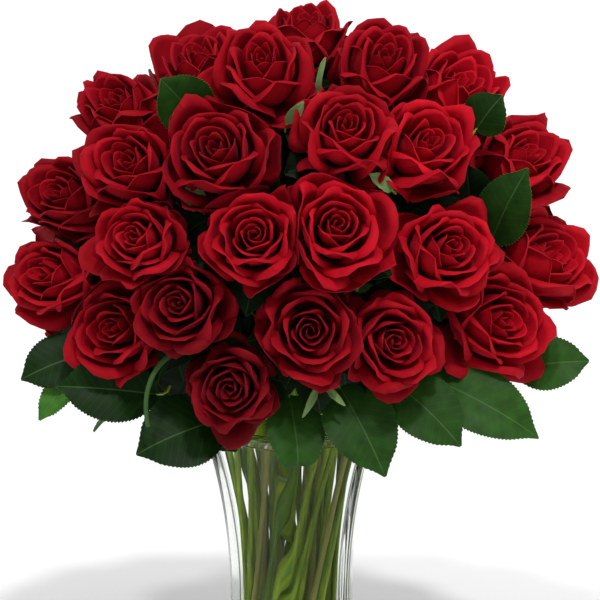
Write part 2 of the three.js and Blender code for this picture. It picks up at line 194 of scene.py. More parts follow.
# Each rose: the middle of its opening, its size, and the turn of its petals in degrees.
ROSES = (
    ((10, -8, 561), 0.95, 20),
    ((-72, -12, 537), 1.0, 75),
    ((-23, -80, 537), 1.05, 140),
    ((73, -52, 539), 1.05, 200),
    ((136, -22, 518), 1.05, 310),
    ((-140, -38, 505), 0.95, 35),
    ((-127, -100, 463), 0.98, 250),
    ((-58, -126, 476), 1.1, 110),
    ((43, -120, 490), 1.0, 320),
    ((104, -98, 478), 1.05, 15),
    ((188, -28, 462), 1.0, 90),
    ((-182, -50, 432), 0.98, 170),
    ((-118, -135, 407), 0.95, 60),
    ((-29, -150, 412), 1.0, 285),
    ((35, -150, 419), 1.02, 130),
    ((122, -128, 398), 1.12, 225),
    ((212, -20, 378), 1.02, 345),
    ((-194, -58, 368), 0.95, 50),
    ((-140, -98, 331), 1.0, 100),
    ((-86, -142, 358), 0.95, 190),
    ((-47, -140, 294), 0.98, 265),
    ((15, -150, 340), 1.05, 10),
    ((78, -142, 328), 0.98, 155),
    ((166, -86, 336), 1.1, 300),
    ((-190, 12, 322), 1.0, 80),
    ((-185, 38, 408), 1.1, 5),
    ((-126, 48, 488), 1.1, 215),
    ((-46, 62, 528), 1.1, 330),
    ((48, 62, 532), 1.1, 45),
    ((134, 54, 480), 1.1, 275),
    ((190, 54, 404), 1.15, 70),
    ((-90, 108, 428), 1.15, 160),
    ((0, 126, 396), 1.15, 120),
    ((92, 108, 426), 1.15, 240),
    ((-104, 98, 328), 1.15, 25),
    ((118, 92, 325), 1.15, 260),
)

# Each leaf: the base and tip of its blade, its width, the way its upper face looks and its shade,
# from 1 for a young bright one over 0 for an old one to -1 for a nearly black one inside the bunch.
# Above 0 this is partly the leaf's age and partly painted light and shade; below 0 it is painted
# shade.
LEAVES = (
    ((-152, -44, 304), (-208, -64, 285), 44, (-0.4, -1, 0.4), 0.0),
    ((-160, -56, 296), (-194, -68, 254), 24, (-0.4, -1, 0.1), 1.0),
    ((-102, -76, 276), (-178, -88, 285), 50, (-0.2, -1, 0.4), 0.0),
    ((-52, -84, 259), (-117, -110, 237), 60, (-0.3, -1, 0.5), 0.0),
    ((-66, -80, 268), (-42, -96, 236), 42, (0.2, -1, 0.3), 0.1),
    ((-2, -88, 278), (6, -125, 221), 44, (0.2, -1, 0.5), 0.35),
    ((36, -94, 286), (70, -126, 224), 54, (0.1, -1, 0.5), 0.25),
    ((78, -90, 288), (127, -112, 244), 50, (0.3, -1, 0.4), 0.3),
    ((102, -74, 290), (187, -98, 247), 52, (0.2, -1, 0.5), 0.4),
    ((172, -46, 290), (229, -56, 298), 42, (0.3, -1, 0.5), 0.4),
    ((-64, -54, 478), (-97, -88, 518), 44, (-0.4, -1, 0.6), 0.3),
    ((152, -62, 392), (175, -102, 453), 42, (-0.3, -1, 0.2), 0.2),
    ((8, 64, 456), (-3, 108, 494), 40, (0, 1, -0.2), 0.4),
    ((140, -50, 476), (159, -60, 503), 36, (-0.2, -1, 0.4), 0.1),
    # Dark leaves in the gaps between the blooms, darkened with painted shade.
    ((-4, -40, 425), (-2, -58, 492), 46, (0, -1, 0.1), -0.7),
    ((-86, -50, 262), (-128, -62, 310), 44, (-0.2, -1, 0.2), -0.7),
    ((-80, -64, 276), (-90, -76, 316), 30, (-0.1, -1, 0.1), -0.7),
    ((42, -70, 276), (38, -84, 308), 26, (0, -1, 0.1), -0.7),
    ((14, -108, 306), (22, -116, 270), 28, (0, -1, 0.2), -0.6),
    ((136, -50, 418), (132, -64, 452), 34, (0, -1, 0.1), -0.7),
    ((-18, 66, 436), (-46, 112, 474), 44, (-0.5, 1, -0.1), 0.2),
    ((26, 68, 428), (46, 112, 462), 40, (0.5, 1, -0.1), 0.3),
    ((34, 56, 286), (58, 104, 326), 44, (0.2, 1, 0.2), 0.2),
    ((-28, 58, 288), (-52, 104, 322), 42, (-0.2, 1, 0.2), 0.3),
    ((4, 62, 300), (2, 110, 338), 40, (0, 1, 0.2), 0.1),
)

# The leaf over the middle of the vase rolls under: which it is, the length that rolls, its turn.
ROLLED_LEAF = LEAVES[5]
ROLLED_LENGTH = 20
ROLLED_TURN = math.radians(150)

# Narrow pale leaflets under the blooms, in the same terms.
BRACTS = (
    ((-62, -100, 423), (-84, -112, 438), 16, (-0.2, -1, 0.6), 0),
    ((75, -100, 436), (57, -112, 450), 11, (0.2, -1, 0.4), 0),
    ((20, -118, 293), (8, -130, 270), 5, (0.2, -1, 0.2), 0),
    ((25, -118, 292), (40, -130, 279), 5, (-0.2, -1, 0.3), 0),
    ((20, -86, 508), (25, -102, 535), 4.5, (-0.4, -1, 0.2), 0),
    ((-4, -84, 484), (9, -98, 502), 9, (0.2, -1, 0.2), 0),
)

# A bare young shoot that arches out at the lower left. It has the skin of a leaf, so it takes a
# place in that finish well beside the rib.
SHOOT = ((-69, -90, 316), (-93, -125, 324), (-114, -130, 300), (-107, -122, 262))
SHOOT_RADII = (2.3, 1.7)
SHOOT_SIDES = 9
SHOOT_PLACE = 8
# The shoot's painted shade, as for a leaf.
SHOOT_SHADE = -0.5

# Rows of points along a leaf, by their share of its half width, and how much wider apart the
# teeth of a small leaf are drawn.
LEAF_LANES = (-1, -0.78, -0.52, -0.26, -0.06, 0.06, 0.26, 0.52, 0.78, 1)
SMALL_LEAF_LANES = (-1, -0.55, -0.06, 0.06, 0.55, 1)
SMALL_LEAF_TEETH = 2.1

# A leaf: where it is widest, how high it arches, both as shares of its length, how steeply the
# blade rises from the rib and how it flattens, how deep the side veins lie and the edge waves,
# how deep its teeth are, where each is at its highest, and how thick the rib and the blade are.
LEAF_BELLY = 0.42
LEAF_ARCH = 0.2
LEAF_FOLD = 0.2
LEAF_FLATTENING = 0.0035
VEIN_SINKING = 0.16
VEIN_SLANT = 0.75
VEIN_BEND = 0.009
LEAF_WAVE = 1.1
TOOTH_DEPTH = 1.1
TOOTH_PEAK = 0.72
RIB_THICKNESS = 1.1
BLADE_THICKNESS = 0.6
RIB_LANES = 0.1

# The finishes of the greenery by number, and places in the bark's pattern far from any stem's.
BARK, WAX, DOWN = 0, 1, 2
STALK_PLACE = 2000
THORN_PLACE = 3000

# The petals of a rose from the outermost to the innermost, by their number in the spiral. The
# first two lists place the crest, where the lip starts to curl back.
PETAL_RANKS = (0, 4, 5, 8, 12, 16, 20, 25, 30)
CREST_RADII = (40.0, 37.0, 33.5, 30.5, 24.0, 20.0, 14.5, 8.5, 3.0)
CREST_HEIGHTS = (17.0, 26.0, 35.0, 40.0, 45.0, 47.0, 48.0, 47.4, 46.0)
HALF_ANGLES = (44, 46, 52, 56, 62, 66, 72, 85, 120)
CURL_RADII = (5.6, 5.2, 4.4, 3.6, 2.5, 1.8, 1.3, 0.9, 0.4)
CURL_ANGLES = (110, 120, 140, 140, 130, 115, 100, 80, 40)
SIDE_FOLDS = (0.34, 0.3, 0.24, 0.2, 0.14, 0.1, 0.06, 0.03, 0.0)
RIM_WAVES = (2.4, 2.2, 1.5, 1.1, 0.8, 0.6, 0.4, 0.3, 0.1)
BELLY_LOW = (0.4, 0.44, 0.58, 0.66, 0.76, 0.84, 0.9, 0.95, 1.0)
BELLY_HIGH = (0.78, 0.82, 0.95, 1.02, 1.1, 1.12, 1.08, 1.0, 1.0)
BELLY_LOW_HEIGHTS = (1, 1.5, 4, 5, 6.5, 8, 9, 10, 12)
BELLY_HIGH_SHARE = 0.52
PETAL_FOOT = 3.8
PETAL_OVERLAP = 1.2
BUD_RADIUS = 30

# Left to chance: how open a bloom is, how far its bud closes, sinks and sways, and, for a petal,
# its shade, how much further it reaches as a guard, how far it turns from its place, how far the
# tip of its lip stays open and how pointed that is.
OPENNESS = (0.86, 1.03)
BUD_CLOSING = 0.22
BUD_SINKING = 6.0
BUD_SWAY = 2
PETAL_SHADES = (0.87, 1.13)
GUARD_SPREAD = 0.1
TURN_SPREAD = 0.16
TIP_OPENING = 0.75
TIP_POINT = 0.08
PETAL_SEED = 400

# The guard petals are the outermost ones. By a bloom's number: how far they reach against the
# usual, and how far they stand up where it is less open than the rest.
GUARD_PETALS = 5
GUARD_REACH = {
    2: 1.45,
    5: 0.86,
    6: 0.78,
    7: 1.12,
    8: 1.25,
    12: 0.87,
    15: 1.25,
    16: 0.95,
    17: 1.06,
    18: 0.97,
    21: 0.8,
    23: 0.95,
}
UPRIGHT_GUARDS = {2: 7, 5: 10, 11: 8, 17: 8}

# Petals that reach past the dome's edge on the right fold in, by this share.
DOME_EDGE = 234
FOLDED_IN = 0.65

# How light each bloom is against the usual, by its number, and the outermost petals of every one.
# The blooms differ partly in their own colour and partly by painted light and shade.
BLOOM_TONE_AND_PAINTED_LIGHT = {
    1: 1.05,
    3: 1.1,
    4: 1.05,
    5: 1.5,
    6: 0.9,
    8: 0.9,
    9: 1.15,
    10: 1.45,
    11: 1.2,
    12: 0.75,
    13: 1.15,
    14: 1.25,
    15: 1.35,
    16: 1.35,
    17: 1.3,
    20: 0.6,
    21: 0.45,
    22: 0.8,
    24: 1.25,
}
OUTER_SHADE = 0.76

# Which petals each of these changes fades over, by their number in the spiral.
REACH_FADES = (4, 12)
UPRIGHT_FADES = (5, 11)
SHADE_FADES = (2, 10)
BUD_CLOSES = (15, 20)
BUD_SINKS = (14, 26)
POINTED_PETALS = 9

# Rows of points up a petal, by their share of its height. The lip curls back above the crest.
CREST = 0.78
PETAL_ROWS = np.array([0, 0.17, 0.34, 0.49, 0.61, 0.7, CREST, 0.82, 0.865, 0.91, 0.955, 1.0])
PETAL_COLUMNS = 13
TIP_WIDTH = 0.3
EDGE_THINNING = 0.7
UPWARD_TILT = 0.3
FORWARD_TILT = 0.45

# Where two roses meet, the seam between them leans and waves, so that one's petals lie over
# the other's.
SEAM_LEAN = 0.28
SEAM_LEAN_REACH = 25
SEAM_WAVE = 3.0
SEAM_WAVE_LENGTH = 60
SEAM_WAVE_WAYS = ((0.8, 0.3, 0.5), (-0.4, 0.5, 0.8))

# Camera: the point that it aims at, and how far it looks down.
CAMERA_AIM = (6.3, 0, 336)
CAMERA_ELEVATION = math.radians(10)

# The room in front of the vase is dark, so glass and water reflect little: this tint holds it back.
DIM_REFLECTION = "484848"

# The share and the two colours of a colour mix have the same names as other sockets of that node,
# so they go by number.
SHARE, FIRST, SECOND = 0, 6, 7


def linear(code):
    """The linear red, green and blue of an sRGB hex colour."""
    shares = (int(code[i : i + 2], 16) / 255 for i in (0, 2, 4))
    return tuple(s / 12.92 if s <= 0.04045 else ((s + 0.055) / 1.055) ** 2.4 for s in shares)


def unit(vector):
    return vector / np.linalg.norm(vector, axis=-1, keepdims=True)


def smooth(value, low, high):
    """A soft step from 0 at low to 1 at high."""
    share = np.clip((value - low) / (high - low), 0, 1)
    return share * share * (3 - 2 * share)


def bezier(points, t):
    """Points on the Bezier curve through two ends, by de Casteljau's rule."""
    t = np.asarray(t, float)[..., None]
    level = [np.asarray(p, float) + 0 * t for p in points]
    while len(level) > 1:
        level = [a + (b - a) * t for a, b in zip(level, level[1:])]
    return level[0]


# Settings that a user would change


class BloomSettings(bpy.types.PropertyGroup):
    """Sizes and colours of the roses"""

    petals: IntProperty(
        name="Petals", description="Petals in each rose", default=31, min=12, max=31
    )
    thickness: FloatProperty(
        name="Petal Thickness",
        description="Thickness in the middle of a petal",
        default=0.55 * MM,
        subtype="DISTANCE",
        unit="LENGTH",
    )
    velvet: FloatVectorProperty(
        name="Velvet",
        description="Colour of a petal's upper face",
        default=linear("9C0818"),
        subtype="COLOR",
    )
    # Painted shade near a petal's foot, also the colour of its darker blotches.
    depth: FloatVectorProperty(
        name="Depth",
        description="Colour near the foot of a petal",
        default=linear("56020A"),
        subtype="COLOR",
    )
    # Painted highlight along the edge of a petal.
    rim: FloatVectorProperty(
        name="Rim",
        description="Colour along the edge of a petal",
        default=linear("B02234"),
        subtype="COLOR",
    )


class GreenerySettings(bpy.types.PropertyGroup):
    """Sizes and colours of the stems and leaves"""

    tooth_spacing: FloatProperty(
        name="Tooth Spacing",
        description="Distance between two teeth along a leaf's edge",
        default=2.6 * MM,
        subtype="DISTANCE",
        unit="LENGTH",
    )
    vein_spacing: FloatProperty(
        name="Vein Spacing",
        description="Distance between two side veins along the rib",
        default=6.5 * MM,
        subtype="DISTANCE",
        unit="LENGTH",
    )
    thorn: FloatProperty(
        name="Thorn Height",
        description="Height of a thorn above the stem",
        default=THORN_HEIGHT * MM,
        subtype="DISTANCE",
        unit="LENGTH",
    )
    leaf: FloatVectorProperty(
        name="Leaf",
        description="Colour of a leaf's upper face",
        default=linear("122C0B"),
        subtype="COLOR",
    )
    leaf_under: FloatVectorProperty(
        name="Leaf Underside",
        description="Colour of a leaf's lower face",
        default=linear("486A36"),
        subtype="COLOR",
    )
    # Lighter than a real stem's colour: its own yellow-green with painted light.
    stem: FloatVectorProperty(
        name="Stem",
        description="Colour of a stem's sunny side",
        default=linear("CDE63A"),
        subtype="COLOR",
    )
    sepal: FloatVectorProperty(
        name="Sepal",
        description="Colour of the sepals and the hip",
        default=linear("6E8A50"),
        subtype="COLOR",
    )


class VaseSettings(bpy.types.PropertyGroup):
    """Sizes and colours of the vase and the water"""

    level: FloatProperty(
        name="Water Level",
        description="Height of the water above the floor",
        default=WATER_LEVEL * MM,
        subtype="DISTANCE",
        unit="LENGTH",
    )
    glass: FloatVectorProperty(
        name="Glass",
        description="Colour of light through the glass",
        default=linear("FBFCFC"),
        subtype="COLOR",
    )
    water: FloatVectorProperty(
        name="Water",
        description="Colour of light through the water",
        default=linear("F8FBF7"),
        subtype="COLOR",
    )


class StudioSettings(bpy.types.PropertyGroup):
    """Floor, light and camera"""

    floor_radius: FloatProperty(
        name="Floor Radius",
        description="Radius of the pale floor",
        default=22.0,
        subtype="DISTANCE",
        unit="LENGTH",
    )
    floor: FloatVectorProperty(
        name="Floor",
        description="Colour of the floor",
        default=linear("F4F4F4"),
        subtype="COLOR",
    )
    key: FloatProperty(
        name="Key Light",
        description="Strength of the two lights from above the front together",
        default=2.0,
    )
    fill: FloatProperty(
        name="Fill Light",
        description="Strength of the broad light from the upper left",
        default=0.5,
    )
    sky: FloatProperty(
        name="Room Light",
        description="Strength of the even light from all round",
        default=0.6,
    )
    distance: FloatProperty(
        name="Camera Distance",
        description="From the middle of the bunch to the camera",
        default=1.9,
        subtype="DISTANCE",
        unit="LENGTH",
    )
    view: FloatProperty(
        name="View Angle",
        description="Angle that the frame takes in",
        default=math.radians(14.23),
        subtype="ANGLE",
        unit="ROTATION",
    )


# Meshes and materials


def add_node(tree, kind, inputs=None, **settings):
    """Adds a node with its settings. An input is given a value, or linked where it's a socket."""
    made = tree.nodes.new(kind)
    for name, value in settings.items():
        setattr(made, name, value)
    for key, value in (inputs or {}).items():
        if isinstance(value, bpy.types.NodeSocket):
            tree.links.new(value, made.inputs[key])
        else:
            made.inputs[key].default_value = value
    return made


def new_material(name):
    """A material without nodes, and its node tree."""
    material = bpy.data.materials.new(name)
    material.use_nodes = True
    material.node_tree.nodes.clear()
    return material, material.node_tree


def rgba(colour):
    return (*colour, 1.0)


class Build:
    """Gathers the points and faces of one piece, with a place in the finish for every point."""

    def __init__(self):
        self.points = []
        self.faces = []
        self.finishes = []
        self.places = []
        self.tones = []
        self.count = 0

    def add(self, points, faces, places, finish=0, tones=0.5):
        points = np.asarray(points, float).reshape(-1, 3)
        self.points.append(points)
        self.tones.append(np.broadcast_to(tones, len(points)))
        self.places.append(np.asarray(places, float).reshape(-1, 3))
        self.faces.extend([tuple(int(i) + self.count for i in face) for face in faces])
        self.finishes.extend([finish] * len(faces))
        self.count += len(points)

    def piece(self, name, replaced, materials, sharp=50):
        """Makes the object, which rides on the one body and stands for CAD nodes."""
        mesh = bpy.data.meshes.new(name)
        mesh.from_pydata((np.concatenate(self.points) * MM).tolist(), [], self.faces)
        for material in materials:
            mesh.materials.append(material)
        mesh.polygons.foreach_set("material_index", self.finishes)
        mesh.polygons.foreach_set("use_smooth", [True] * len(mesh.polygons))
        mesh.set_sharp_from_angle(angle=math.radians(sharp))
        place = mesh.attributes.new("place", "FLOAT_VECTOR", "POINT")
        place.data.foreach_set("vector", np.concatenate(self.places).astype("f").ravel())
        tone = mesh.attributes.new("tone", "FLOAT", "POINT")
        tone.data.foreach_set("value", np.concatenate(self.tones).astype("f"))
        mesh.update()
        made = bpy.data.objects.new(name, mesh)
        bpy.context.scene.collection.objects.link(made)
        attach(made, BODY)
        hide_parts(*replaced)
        return made


def sheet_faces(rows, columns):
    """Faces of a thin closed sheet: outer points, then inner ones, joined all round the edge."""
    count = rows * columns
    faces = []
    for r in range(rows - 1):
        for c in range(columns - 1):
            a = r * columns + c
            outer = (a, a + 1, a + 1 + columns, a + columns)
            faces.append(outer)
            faces.append(tuple(i + count for i in reversed(outer)))
    low = list(range(columns))
    right = [r * columns + columns - 1 for r in range(1, rows)]
    top = [(rows - 1) * columns + c for c in range(columns - 2, -1, -1)]
    left = [r * columns for r in range(rows - 2, 0, -1)]
    edge = low + right + top + left
    for a, b in zip(edge, edge[1:] + edge[:1]):
        faces.append((b, a, a + count, b + count))
    return np.array(faces)


def thin_sheets(grid, thickness):
    """Outer and inner points of sheets whose middles are grids of rows and columns."""
    up = np.gradient(grid, axis=-3)
    across = np.gradient(grid, axis=-2)
    normal = np.cross(across, up)
    normal = normal / np.maximum(np.linalg.norm(normal, axis=-1, keepdims=True), 1e-9)
    half = np.asarray(thickness)[..., None] / 2
    return np.stack([grid + normal * half, grid - normal * half], axis=-4)


def tube_faces(rings, sides):
    """Faces of a closed tube through rings of points."""
    faces = []
    for k in range(rings - 1):
        for i in range(sides):
            a = k * sides + i
            b = k * sides + (i + 1) % sides
            faces.append((a, b, b + sides, a + sides))
    faces.append(tuple(reversed(range(sides))))
    faces.append(tuple(range((rings - 1) * sides, rings * sides)))
    return faces


def tube_points(path, radii, sides):
    """Rings of points round a path, carried along it without twisting."""
    along = unit(np.gradient(path, axis=0))
    lead = np.array([1.0, 0.0, 0.0])
    rings = []
    angles = np.arange(sides) / sides * 2 * math.pi
    for centre, direction, radius in zip(path, along, radii):
        lead = unit(lead - direction * lead.dot(direction))
        other = np.cross(direction, lead)
        ring = np.outer(np.cos(angles), lead) + np.outer(np.sin(angles), other)
        rings.append(centre + ring * radius)
    return np.array(rings)


# Where each rose stands and looks


def rose_frames():
    """Each rose's foot under the petals, its axis and two directions square to it."""
    frames = []
    for number, (at, size, turn) in enumerate(ROSES, 1):
        x, y, z = at
        lean = MIDDLE_LEAN + LEAN_CHANGE * math.tanh(y / LEAN_DEPTH)
        rise = UPWARDS_SHARE * (z - DOME_FOCUS_HEIGHT)
        axis = unit(np.array([SIDEWAYS_SHARE * x, y + lean, rise]))
        side = unit(np.cross(UP, axis))
        turned = math.radians(turn)
        side = side * math.cos(turned) + np.cross(axis, side) * math.sin(turned)
        frames.append(
            {
                "number": number,
                "axis": axis,
                "side": side,
                "other": np.cross(axis, side),
                "middle": np.array(at) - axis * CELL_DEPTH * size,
                "seat": np.array(at) - axis * BLOOM_HEIGHT * size,
                "size": size,
                "reach": CELL_RADIUS * size,
            }
        )
    return frames


FRAMES = rose_frames()


def in_frame(own, x, y, z):
    """Points given in a rose's frame."""
    way = np.stack([own["side"], own["other"], own["axis"]])
    return own["seat"] + np.stack([x, y, z], axis=-1) @ way


def seam(own, other, on_wall):
    """How far the seam between two roses stands beyond its flat wall, for the one of them."""
    first, second = sorted((own, other), key=lambda rose: rose["number"])
    outward = unit(first["axis"] + second["axis"])
    halfway = (first["middle"] + second["middle"]) / 2
    height = np.clip((on_wall - halfway) @ outward, -SEAM_LEAN_REACH, SEAM_LEAN_REACH)
    phase = first["number"] * 1.7 + second["number"] * 2.3
    beat = 2 * math.pi / SEAM_WAVE_LENGTH
    one_way, other_way = (np.array(way) for way in SEAM_WAVE_WAYS)
    wave = np.sin(on_wall @ one_way * beat + phase)
    wave = wave * np.sin(on_wall @ other_way * beat + 2 * phase)
    lean = SEAM_LEAN if (first["number"] + second["number"]) % 2 else -SEAM_LEAN
    shift = lean * height + SEAM_WAVE * wave
    return shift if own is first else -shift


def pressed(own, points):
    """Petals press against their neighbours: a soft wall stands between every two roses."""
    points = np.array(points, float)
    for other in FRAMES:
        way = other["middle"] - own["middle"]
        distance = np.linalg.norm(way)
        if other is own or distance > CELL_REACH:
            continue
        way = way / distance
        wall = distance * own["reach"] / (own["reach"] + other["reach"])
        before = (points - own["middle"]) @ way
        on_wall = points + (wall - before)[..., None] * way
        room = wall - CELL_GAP + seam(own, other, on_wall) - before
        kept = CELL_SOFTNESS * np.logaddexp(0, room / CELL_SOFTNESS)
        points += (room - kept)[..., None] * way
    return points


# Blooms


def cubic(ends, s):
    """A cubic Bezier curve in one coordinate, and its slope."""
    a, b, c, d = ends
    t = 1 - s
    value = t**3 * a + 3 * s * t * t * b + 3 * s * s * t * c + s**3 * d
    slope = t * t * (b - a) + 2 * s * t * (c - b) + s * s * (d - c)
    return value, slope


def petal_grids(own, count, random):
    """The middles of a rose's petals, each a grid of points, their places and their tones."""
    rank = np.arange(count)
    guard = rank < GUARD_PETALS
    openness = np.where(guard, 1.0, random.uniform(*OPENNESS))
    bud = 1 - random.uniform(0.0, BUD_CLOSING) * smooth(rank, *BUD_CLOSES)
    sunk = random.uniform(0.0, BUD_SINKING) * smooth(rank, *BUD_SINKS)

    def along_spiral(values, spread=0.0):
        found = np.interp(rank, PETAL_RANKS, values)
        return found * (1 + spread * random.uniform(-1, 1, count))

    def each(values):
        return values[:, None, None]

    reach = 1 + GUARD_SPREAD * guard * random.uniform(-1, 1, count)
    wider = GUARD_REACH.get(own["number"], 1.0) - 1
    reach = reach * (1 + wider * (1 - smooth(rank, *REACH_FADES)))
    radius = each(along_spiral(CREST_RADII, 0.03) * openness * bud * reach)
    lift = UPRIGHT_GUARDS.get(own["number"], 0) * (1 - smooth(rank, *UPRIGHT_FADES))
    height = each(along_spiral(CREST_HEIGHTS, 0.02) - sunk + lift)
    half = each(np.radians(along_spiral(HALF_ANGLES, 0.1)))
    curl = each(along_spiral(CURL_RADII, 0.3))
    turn = each(np.radians(along_spiral(CURL_ANGLES, 0.25)))
    fold = each(along_spiral(SIDE_FOLDS, 0.5))
    waves = each(along_spiral(RIM_WAVES, 0.5))
    belly_low = each(along_spiral(BELLY_LOW))
    belly_high = each(along_spiral(BELLY_HIGH, 0.02))
    low_height = each(along_spiral(BELLY_LOW_HEIGHTS))
    middle = each(rank * GOLDEN_ANGLE + random.uniform(-TURN_SPREAD, TURN_SPREAD, count))
    phase = each(random.uniform(0, 2 * math.pi, count))
    beats = each(random.uniform(0.8, 1.8, count))
    open_tip = each(random.uniform(0.0, TIP_OPENING, count))
    pointed = np.where(rank < POINTED_PETALS, 2.0, 1.0)
    point = each(random.uniform(0.0, TIP_POINT, count) * pointed)
    # A petal's lightness: its bloom's, partly painted light and shade, times a random share of its
    # own.
    tone = BLOOM_TONE_AND_PAINTED_LIGHT.get(own["number"], 1.0) * random.uniform(*PETAL_SHADES, count)
    tone = tone * (OUTER_SHADE + (1 - OUTER_SHADE) * smooth(rank, *SHADE_FADES))

    # Up and across each petal, and how far its outline reaches: round, with a small point.
    u = PETAL_ROWS[None, :, None]
    even = np.linspace(-1, 1, PETAL_COLUMNS)
    v = ((even + np.sin(even * math.pi / 2)) / 2)[None, None, :]
    across = np.abs(v)
    near_tip = np.exp(-((v / TIP_WIDTH) ** 2))
    outline = 0.5 + 0.5 * (1 - across**2.6) ** 0.6
    outline = outline * (1 + point * near_tip) * (1 - fold * across**1.5)
    s = np.minimum(u / CREST, 1) * outline

    # From its foot a petal bellies out and rises to its crest.
    foot = np.minimum(PETAL_FOOT, 0.6 * radius)
    curve_r = (foot, belly_low * radius, belly_high * radius, radius)
    curve_z = (0 * foot, low_height, height * BELLY_HIGH_SHARE, height)
    r, lean_r = cubic(curve_r, s)
    z, lean_z = cubic(curve_z, s)
    lean = np.hypot(lean_r, lean_z)
    lean_r, lean_z = lean_r / lean, lean_z / lean

    # The lip curls back round a small radius, less at the tip of some petals.
    ripple = math.pi * beats * v + phase
    turned = turn * np.clip((u - CREST) / (1 - CREST), 0, 1) * (1 - open_tip * near_tip)
    turned = turned * (1 + 0.25 * np.sin(1.7 * ripple))
    bow = curl * (1 + 0.25 * np.cos(ripple) + 1.2 * fold * across)
    r = r + bow * (np.sin(turned) * lean_r + (1 - np.cos(turned)) * lean_z)
    z = z + bow * (np.sin(turned) * lean_z - (1 - np.cos(turned)) * lean_r)
    z = z + waves * np.sin(ripple) * s * s
    r = r + 0.6 * waves * np.cos(ripple) * s * s
    r = r + PETAL_OVERLAP * v * s

    # It widens quickly above its narrow foot. The bud leans a little to one side.
    spread = 0.42 + 0.58 * np.sin(np.minimum(1, s / 0.6) * math.pi / 2)
    angle = middle + half * spread * v
    size = own["size"]
    sway = random.uniform(-BUD_SWAY, BUD_SWAY, 2)
    inward = np.clip(1 - radius / BUD_RADIUS, 0, 1) * s
    x = r * np.cos(angle) + sway[0] * inward
    y = r * np.sin(angle) + sway[1] * inward
    # Each bloom opens a little upwards, and those at the front towards the viewer as well.
    forward = FORWARD_TILT * float(smooth(-own["middle"][1], -20, 30))
    opening = UPWARD_TILT * UP - forward * np.array([0.0, 1.0, 0.0])
    z = z - (x * (own["side"] @ opening) + y * (own["other"] @ opening)) * smooth(s, 0.0, 0.9)
    grid = pressed(own, in_frame(own, x * size, y * size, z * size))
    grid[..., 0] -= FOLDED_IN * np.maximum(grid[..., 0] - DOME_EDGE, 0)

    width = v * radius * half * size
    # The band along the edge that takes the painted highlight.
    edge = np.maximum(smooth(u, 0.94, 1.0), smooth(across, 0.95, 1.0))
    places = np.stack(np.broadcast_arrays(width, s + 0 * width, edge), axis=-1)
    return grid, places, tone


def rose_velvet(look):
    """Garden rose petal: a skin of tiny cones, so it's matt and deep with a soft pale sheen."""
    material, tree = new_material("rose_petal_velvet")
    place = add_node(tree, "ShaderNodeAttribute", attribute_name="place")
    parts = add_node(tree, "ShaderNodeSeparateXYZ", {0: place.outputs["Vector"]})
    tone = add_node(tree, "ShaderNodeAttribute", attribute_name="tone")
    # Each petal darkens from the middle of its height down to its foot: painted shade deep in the
    # bloom.
    climb = add_node(
        tree,
        "ShaderNodeMapRange",
        {"Value": parts.outputs[1], "From Min": 0.2, "From Max": 0.75},
    )
    body = add_node(
        tree,
        "ShaderNodeMix",
        {SHARE: climb.outputs[0], FIRST: rgba(look.depth), SECOND: rgba(look.velvet)},
        data_type="RGBA",
    )
    # Blotches about 9 mm across, where the colour of a real petal deepens.
    coordinates = add_node(tree, "ShaderNodeTexCoord")
    blotch = add_node(
        tree,
        "ShaderNodeTexNoise",
        {"Vector": coordinates.outputs["Object"], "Scale": 110.0, "Detail": 3.0},
    )
    blotch_share = add_node(
        tree,
        "ShaderNodeMapRange",
        {"Value": blotch.outputs[0], "From Min": 0.35, "From Max": 0.8, "To Max": 0.35},
    )
    toned = add_node(
        tree,
        "ShaderNodeMix",
        {SHARE: blotch_share.outputs[0], FIRST: body.outputs[2], SECOND: rgba(look.depth)},
        data_type="RGBA",
    )
    shaded = add_node(
        tree,
        "ShaderNodeHueSaturation",
        {"Value": tone.outputs["Fac"], "Color": toned.outputs[2]},
    )
    # A thin paler band along every petal's edge: painted highlight.
    rim_highlight_share = add_node(tree, "ShaderNodeMapRange", {"Value": parts.outputs[2], "To Max": 0.16})
    rimmed = add_node(
        tree,
        "ShaderNodeMix",
        {SHARE: rim_highlight_share.outputs[0], FIRST: shaded.outputs[0], SECOND: rgba(look.rim)},
        data_type="RGBA",
    )
    # Veins run up the petal about 0.9 mm apart, coarser than real ones so that they show.
    streaks = add_node(
        tree,
        "ShaderNodeTexNoise",
        {"Vector": place.outputs["Vector"], "Scale": 1.1, "Detail": 2.0},
    )
    bump = add_node(
        tree,
        "ShaderNodeBump",
        {"Height": streaks.outputs[0], "Strength": 0.35, "Distance": 0.25 * MM},
    )
    shader = add_node(
        tree,
        "ShaderNodeBsdfPrincipled",
        {
            "Base Color": rimmed.outputs[2],
            "Roughness": 0.65,
            "IOR": 1.42,
            "Specular IOR Level": 0.09,
            "Sheen Weight": 0.14,
            "Sheen Roughness": 0.4,
            "Sheen Tint": rgba(linear("FF5A78")),
            "Normal": bump.outputs[0],
        },
    )
    add_node(tree, "ShaderNodeOutputMaterial", {"Surface": shader.outputs[0]})
    return material


class BOUQUET_OT_roses(bpy.types.Operator):
    """Builds the blooms petal by petal"""

    bl_idname = "bouquet.roses"
    bl_label = "Add Roses"

    def execute(self, context):
        look = context.scene.bouquet_blooms
        velvet = rose_velvet(look)
        faces = sheet_faces(len(PETAL_ROWS), PETAL_COLUMNS)
        stride = 2 * len(PETAL_ROWS) * PETAL_COLUMNS
        for number, own in enumerate(FRAMES, 1):
            random = np.random.default_rng(PETAL_SEED + number)
            grid, places, tones = petal_grids(own, look.petals, random)
            thickness = np.full(grid.shape[:3], look.thickness / MM)
            thickness[:, -1, :] *= EDGE_THINNING
            sheets = thin_sheets(grid, thickness)
            build = Build()
            starts = np.arange(look.petals) * stride
            every = (faces[None] + starts[:, None, None]).reshape(-1, 4)
            both = np.stack([places, places], axis=-4)
            build.add(sheets, every, both, tones=np.repeat(tones, stride))
            build.piece(
                f"rose_petals_{number:02d}", [f"rose_bloom_{number:02d}"], [velvet]
            )
        return {"FINISHED"}


# Stems, sepals and leaves


